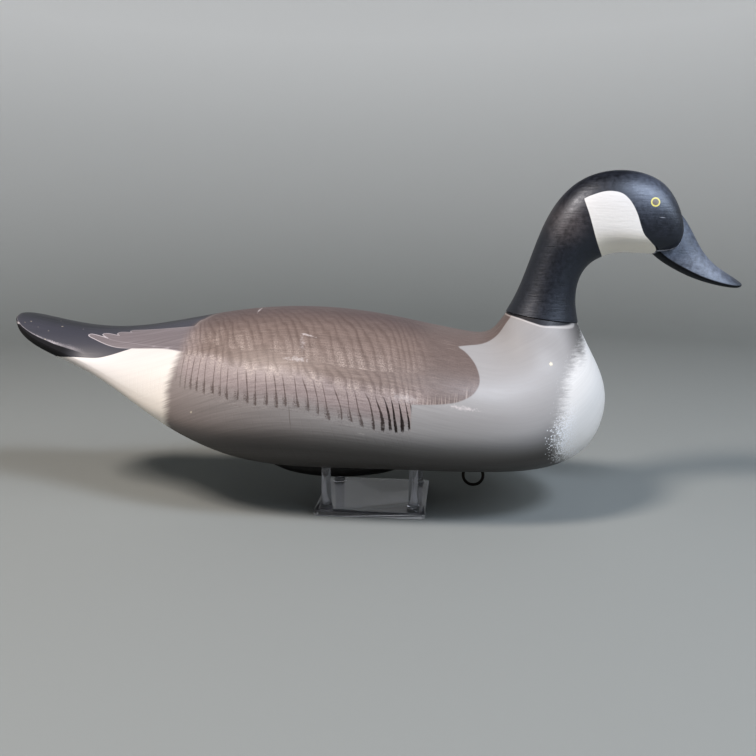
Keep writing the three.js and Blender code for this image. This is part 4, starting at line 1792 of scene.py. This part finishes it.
class NodeForm(Nodes):
    """A shape made by Geometry Nodes from named sizes, turned to a plain mesh when it is done."""

    def __init__(self, name: str, material: bpy.types.Material) -> None:
        """Starts the tree.

        Args:
            name: The piece's name.
            material: What it is made of.
        """
        super().__init__(bpy.data.node_groups.new(name, "GeometryNodeTree"))
        self.name = name
        self.material = material
        self.tree.interface.new_socket("Geometry", in_out="OUTPUT", socket_type="NodeSocketGeometry")
        self.entry = self.tree.nodes.new("NodeGroupInput")
        self.sizes: dict[str, object] = {}

    def size(self, name: str, value: object) -> Socket:
        """Adds a named input.

        Args:
            name: What it is a size or place of.
            value: A number, a whole number or three numbers.

        Returns:
            The output that gives it inside the tree.
        """
        kind = "Vector" if isinstance(value, tuple) else "Int" if isinstance(value, int) else "Float"
        socket = self.tree.interface.new_socket(name, in_out="INPUT", socket_type=f"NodeSocket{kind}")
        self.sizes[socket.identifier] = value
        return self.entry.outputs[name]

    def make(self, shape: Socket) -> bpy.types.Object:
        """Ends the tree and turns its result to a plain mesh.

        Args:
            shape: The finished geometry.

        Returns:
            The new object, with no modifier left.
        """
        real = self.add("GeometryNodeRealizeInstances", {0: shape})
        smooth = self.add("GeometryNodeSetShadeSmooth", {0: real})
        dressed = self.add("GeometryNodeSetMaterial", {0: smooth, "Material": self.material})
        self.add("NodeGroupOutput", {0: dressed})
        piece = put_in_scene(self.name, bpy.data.meshes.new(self.name))
        grown = piece.modifiers.new("form", "NODES")
        grown.node_group = self.tree
        for identifier, value in self.sizes.items():
            grown[identifier] = value
        make_plain(piece)
        turn_outwards(piece.data)
        return piece


def cut_back(piece: bpy.types.Object, body: bpy.types.Object) -> None:
    """Cuts what reaches into the wood back to a little below it.

    Args:
        piece: The piece under the body.
        body: The carved body.
    """
    cutter = put_in_scene("cutter", body.data.copy())
    cutter.data.transform(Matrix.Translation((0, 0, -TOUCH_GAP)))
    work_together(piece, cutter, Joining.CUT)
    bpy.data.objects.remove(cutter)


@dataclass
class LineRing:
    """The wire ring that the anchor line ties to."""

    x: float
    belly: Belly
    outer: float = 21.5 * MM
    wire: float = 2.8 * MM
    steps: int = 96
    sides: int = 20

    def centre(self) -> tuple[float, float, float]:
        """The middle of the ring, whose top all but touches the wood."""
        return self.x, 0.0, self.belly.height(self.x, 0) - TOUCH_GAP - self.outer / 2

    def build(self, material: bpy.types.Material) -> bpy.types.Object:
        """Bends the ring.

        Args:
            material: What it is made of.

        Returns:
            The ring.
        """
        form = NodeForm("wire_line_ring", material)
        outer, wire = form.size("Outer diameter", self.outer), form.size("Wire", self.wire)
        place = form.size("Place", self.centre())
        span = form.add(MINUS, (outer, wire))
        radius = form.add(TIMES, (span, 0.5))
        thick = form.add(TIMES, (wire, 0.5))
        path = form.add(CIRCLE, {"Resolution": self.steps, "Radius": radius})
        section = form.add(CIRCLE, {"Resolution": self.sides, "Radius": thick})
        ring = form.add(SWEPT, (path, section))
        upright = form.add(MOVED, {0: ring, 1: place, 2: Euler((math.pi / 2, 0, 0))})
        return form.make(upright)


@dataclass
class RingStaple:
    """The bent wire that holds the ring; its legs go into the wood."""

    ring: LineRing
    body: bpy.types.Object
    wire: float = 2.2 * MM
    span: float = 11 * MM
    rise: float = 16.5 * MM
    bend_steps: int = 8
    sides: int = 20

    def build(self, material: bpy.types.Material) -> bpy.types.Object:
        """Bends the staple and cuts its legs off at the wood.

        Args:
            material: What it is made of.

        Returns:
            The staple.
        """
        x, _, z = self.ring.centre()
        crown = z + self.ring.outer / 2 - self.ring.wire - TOUCH_GAP - self.wire / 2
        form = NodeForm("bent_ring_staple", material)
        span, wire = form.size("Between legs", self.span - self.wire), form.size("Wire", self.wire)
        rise = form.size("Rise", self.rise)
        place = form.size("Place", (x, 0.0, crown + self.rise / 2))
        loop = form.add("GeometryNodeCurvePrimitiveQuadrilateral", {"Width": span, "Height": rise})
        bend = form.add(TIMES, (span, 0.25))
        path = form.add("GeometryNodeFilletCurve", {0: loop, "Count": self.bend_steps, "Radius": bend}, mode="POLY")
        thick = form.add(TIMES, (wire, 0.5))
        section = form.add(CIRCLE, {"Resolution": self.sides, "Radius": thick})
        staple = form.add(SWEPT, (path, section))
        turned = Euler((math.pi / 2, 0, math.pi / 2))
        piece = form.make(form.add(MOVED, {0: staple, 1: place, 2: turned}))
        cut_back(piece, self.body)
        shade(piece.data, 40)
        return piece


@dataclass
class DisplayStand:
    """A clear moulded stand: a rounded square plate and four posts with flared feet that follow the belly."""

    x: float
    body: bpy.types.Object
    side: float = 102 * MM
    thickness: float = 4.5 * MM
    corner: float = 5 * MM
    edge: float = 0.5 * MM
    post: float = 9.4 * MM
    post_top: float = 7.4 * MM
    spacing: float = 80 * MM
    flare: float = 2.2 * MM
    flare_height: float = 9 * MM
    corner_steps: int = 8
    edge_steps: int = 3
    post_steps: int = 120
    post_sides: int = 48

    def plate(self) -> bpy.types.Object:
        """Makes the plate, its edges softly rounded as the mould leaves them.

        Returns:
            The plate.
        """
        outline = []
        inner = self.side / 2 - self.corner
        for quarter, (cx, cy) in enumerate(((1, 1), (-1, 1), (-1, -1), (1, -1))):
            for step in range(self.corner_steps + 1):
                turn = (quarter + step / self.corner_steps) * math.pi / 2
                x = self.x + cx * inner + self.corner * math.cos(turn)
                outline.append((x, cy * inner + self.corner * math.sin(turn), 0.0))
        work = bmesh.new()
        face = work.faces.new([work.verts.new(point) for point in outline])
        top = bmesh.ops.extrude_face_region(work, geom=[face])
        lifted = [item for item in top["geom"] if isinstance(item, bmesh.types.BMVert)]
        bmesh.ops.translate(work, verts=lifted, vec=(0, 0, self.thickness))
        bmesh.ops.recalc_face_normals(work, faces=work.faces)
        rims = [edge for edge in work.edges if abs(edge.verts[0].co.z - edge.verts[1].co.z) < self.thickness / 2]
        bmesh.ops.bevel(work, geom=rims, offset=self.edge, segments=self.edge_steps, profile=0.5, affect="EDGES")
        mesh = bpy.data.meshes.new("clear_stand")
        work.to_mesh(mesh)
        work.free()
        return put_in_scene("clear_stand", mesh)

    def posts(self, material: bpy.types.Material) -> bpy.types.Object:
        """Grows the four posts from one profile.

        Args:
            material: What they are made of.

        Returns:
            The posts, as one piece.
        """
        form = NodeForm("posts", material)
        post, top = form.size("Post diameter", self.post), form.size("Post top diameter", self.post_top)
        spacing = form.size("Post spacing", self.spacing)
        flare, rise = form.size("Flare", self.flare), form.size("Flare height", self.flare_height)
        base = form.size("Plate thickness", self.thickness)
        place = form.size("Place", (self.x, 0.0, 0.0))
        below = form.add(TIMES, (base, 0.5))
        in_the_belly = form.size("Height", BELLY_HEIGHT + self.spacing / 4)
        foot, head = form.add(COMBINE, {2: below}), form.add(COMBINE, {2: in_the_belly})
        line = form.add("GeometryNodeCurvePrimitiveLine", (foot, head))
        fine = form.add("GeometryNodeResampleCurve", {0: line, "Count": self.post_steps})
        # The foot's flare is a quarter of an ellipse, which rounds in to the post's own width.
        height = form.add(SPLIT, (form.add("GeometryNodeInputPosition"),)).node.outputs[2]
        above = form.add(MINUS, (height, base))
        share = form.add(OVER, (above, rise), use_clamp=True)
        over = form.add(MINUS, (2.0, share))
        round_in = form.add(ROOT, (form.add(TIMES, (share, over)),))
        spread = form.add(TIMES, (form.add(MINUS, (1.0, round_in)), flare))
        flare_top = form.add(PLUS, (base, rise))
        thick = form.add(RAMP, (height, flare_top, in_the_belly, post, top))
        radius = form.add(TIMES_PLUS, (thick, 0.5, spread))
        circle = form.add(CIRCLE, {"Resolution": self.post_sides, "Radius": 1.0})
        rod = form.add(SWEPT, {0: fine, 1: circle, "Scale": radius, "Fill Caps": True})
        square = {"Size X": spacing, "Size Y": spacing, "Vertices X": 2, "Vertices Y": 2}
        corners = form.add("GeometryNodeMeshGrid", square)
        four = form.add("GeometryNodeInstanceOnPoints", {0: corners, "Instance": rod})
        return form.make(form.add(MOVED, (four, place)))

    def build(self, material: bpy.types.Material) -> bpy.types.Object:
        """Moulds the stand in one piece.

        Args:
            material: What it is made of.

        Returns:
            The stand.
        """
        piece = self.plate()
        piece.data.materials.append(material)
        posts = self.posts(material)
        work_together(piece, posts, Joining.UNION)
        bpy.data.objects.remove(posts)
        cut_back(piece, self.body)
        shade(piece.data, 35)
        return piece


# Floor, light and camera


@dataclass(frozen=True)
class Softbox:
    """A soft rectangular light: where it hangs, its width and height, its watts and its colour."""

    name: str
    place: tuple[float, float, float]
    size: tuple[float, float]
    power: float
    colour: str

    def hang(self, aim: tuple[float, float, float]) -> None:
        """Puts the light in the scene.

        Args:
            aim: The point that it is turned to.
        """
        lamp = bpy.data.lights.new(self.name, "AREA")
        lamp.shape = "RECTANGLE"
        lamp.size, lamp.size_y = self.size
        lamp.energy = self.power
        lamp.color = linear(self.colour)[:3]
        holder = put_in_scene(self.name, lamp)
        holder.location = self.place
        holder.rotation_euler = (Vector(aim) - Vector(self.place)).to_track_quat("-Z", "Y").to_euler()


@dataclass
class Studio:
    """A pale round sweep, soft lights, and the camera at the photograph's viewing angle."""

    floor_radius: float = 1.4
    bend_radius: float = 0.6
    wall_height: float = 1.6
    below_foot: float = 0.2 * MM
    sides: int = 96
    bend_steps: int = 12
    lights: tuple[Softbox, ...] = (
        Softbox("cool_softbox_right", (1.0, -0.95, 1.75), (0.45, 0.45), 20.0, "#e9f1ff"),
        Softbox("warm_softbox_left", (-0.9, -0.95, 1.8), (0.45, 0.45), 33.0, "#fff2e8"),
        Softbox("broad_cool_softbox_right", (1.5, -0.95, 1.3), (1.0, 1.0), 16.0, "#e6effa"),
    )
    lights_aim: tuple[float, float, float] = (0.0, 0.0, 0.15)
    fill_colour: str = "#e8eef0"
    fill_strength: float = 0.03
    camera_place: tuple[float, float, float] = (0.0879, -0.6957, 0.2487)
    camera_down: float = 10.5
    camera_turn: float = 6.0
    focal_length: float = 36.05
    sensor: float = 36.0
    nearest_seen: float = 10 * MM

    def sweep(self) -> None:
        """Makes the floor, curved up into a wall all round."""
        sides = self.sides
        # Rings between the middle and the bend keep the faces of the flat part short.
        profile = [(share * self.floor_radius, -self.below_foot) for share in (0.001, 0.3, 0.6, 1)]
        for step in range(1, self.bend_steps + 1):
            turn = step / self.bend_steps * math.pi / 2
            radius = self.floor_radius + self.bend_radius * math.sin(turn)
            profile.append((radius, self.bend_radius * (1 - math.cos(turn)) - self.below_foot))
        profile.append((self.floor_radius + self.bend_radius, self.wall_height))
        points = [(0.0, 0.0, -self.below_foot)]
        for radius, height in profile:
            for j in range(sides):
                turn = j / sides * 2 * math.pi
                points.append((radius * math.cos(turn), radius * math.sin(turn), height))
        faces = [(0, 1 + j, 1 + (j + 1) % sides) for j in range(sides)]
        for i in range(len(profile) - 1):
            for j in range(sides):
                a, b = 1 + i * sides + j, 1 + i * sides + (j + 1) % sides
                faces.append((a, a + sides, b + sides, b))
        mesh = bpy.data.meshes.new("floor_sweep")
        mesh.from_pydata(points, [], faces)
        mesh.shade_smooth()
        mesh.materials.append(MattBoard().material())
        sweep = put_in_scene("floor_sweep", mesh)

    def build(self) -> None:
        """Sets up the floor, the lights, the camera and the room's fill light."""
        self.sweep()
        for light in self.lights:
            light.hang(self.lights_aim)
        world = bpy.data.worlds.new("room")
        world.use_nodes = True
        world.node_tree.nodes["Background"].inputs[0].default_value = linear(self.fill_colour)
        world.node_tree.nodes["Background"].inputs[1].default_value = self.fill_strength
        bpy.context.scene.world = world
        bpy.context.scene.view_settings.view_transform = "Standard"
        bpy.context.scene.view_settings.look = "Medium High Contrast"
        lens = bpy.data.cameras.new("camera")
        lens.lens = self.focal_length
        lens.sensor_width = self.sensor
        lens.sensor_fit = "HORIZONTAL"
        lens.clip_start = self.nearest_seen
        camera = put_in_scene("camera", lens)
        camera.location = self.camera_place
        camera.rotation_euler = (math.radians(90 - self.camera_down), 0, math.radians(self.camera_turn))
        bpy.context.scene.camera = camera


def stand_for(piece: bpy.types.Object, material: bpy.types.Material, node: str) -> None:
    """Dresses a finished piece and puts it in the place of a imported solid.

    Args:
        piece: The finished piece.
        material: What it is made of.
        node: The solid that it stands for.
    """
    piece.data.materials.clear()
    piece.data.materials.append(material)
    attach(piece, "root")
    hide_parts(node)
    LOG.info("%s: %d triangles", piece.name, sum(len(p.vertices) - 2 for p in piece.data.polygons))


def main() -> None:
    """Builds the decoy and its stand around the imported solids, then the studio."""
    logging.basicConfig(level=logging.INFO, format="%(message)s")
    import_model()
    body = Body()
    carved = body.build()
    stand_for(carved, BodyPaint().material(), "body")
    head = HeadAndNeck(body.place()).build()
    stand_for(head, HeadPaint().material(), "head_and_neck")
    tail_tip = body.place()[0]
    belly = Belly(carved)
    weight = KeelWeight(carved, tail_tip + WEIGHT_PLACE * BIRD_LENGTH).build()
    stand_for(weight, CastLead().material(), "ballast_weight")
    wire = DarkIronWire().material()
    ring = LineRing(tail_tip + RING_PLACE * BIRD_LENGTH, belly)
    stand_for(ring.build(wire), wire, "line_ring")
    stand_for(RingStaple(ring, carved).build(wire), wire, "ring_staple")
    acrylic = ClearAcrylic().material()
    stand = DisplayStand(tail_tip + STAND_PLACE * BIRD_LENGTH, carved).build(acrylic)
    stand_for(stand, acrylic, "display_stand")
    Studio().build()


if __name__ == "__main__":
    main()
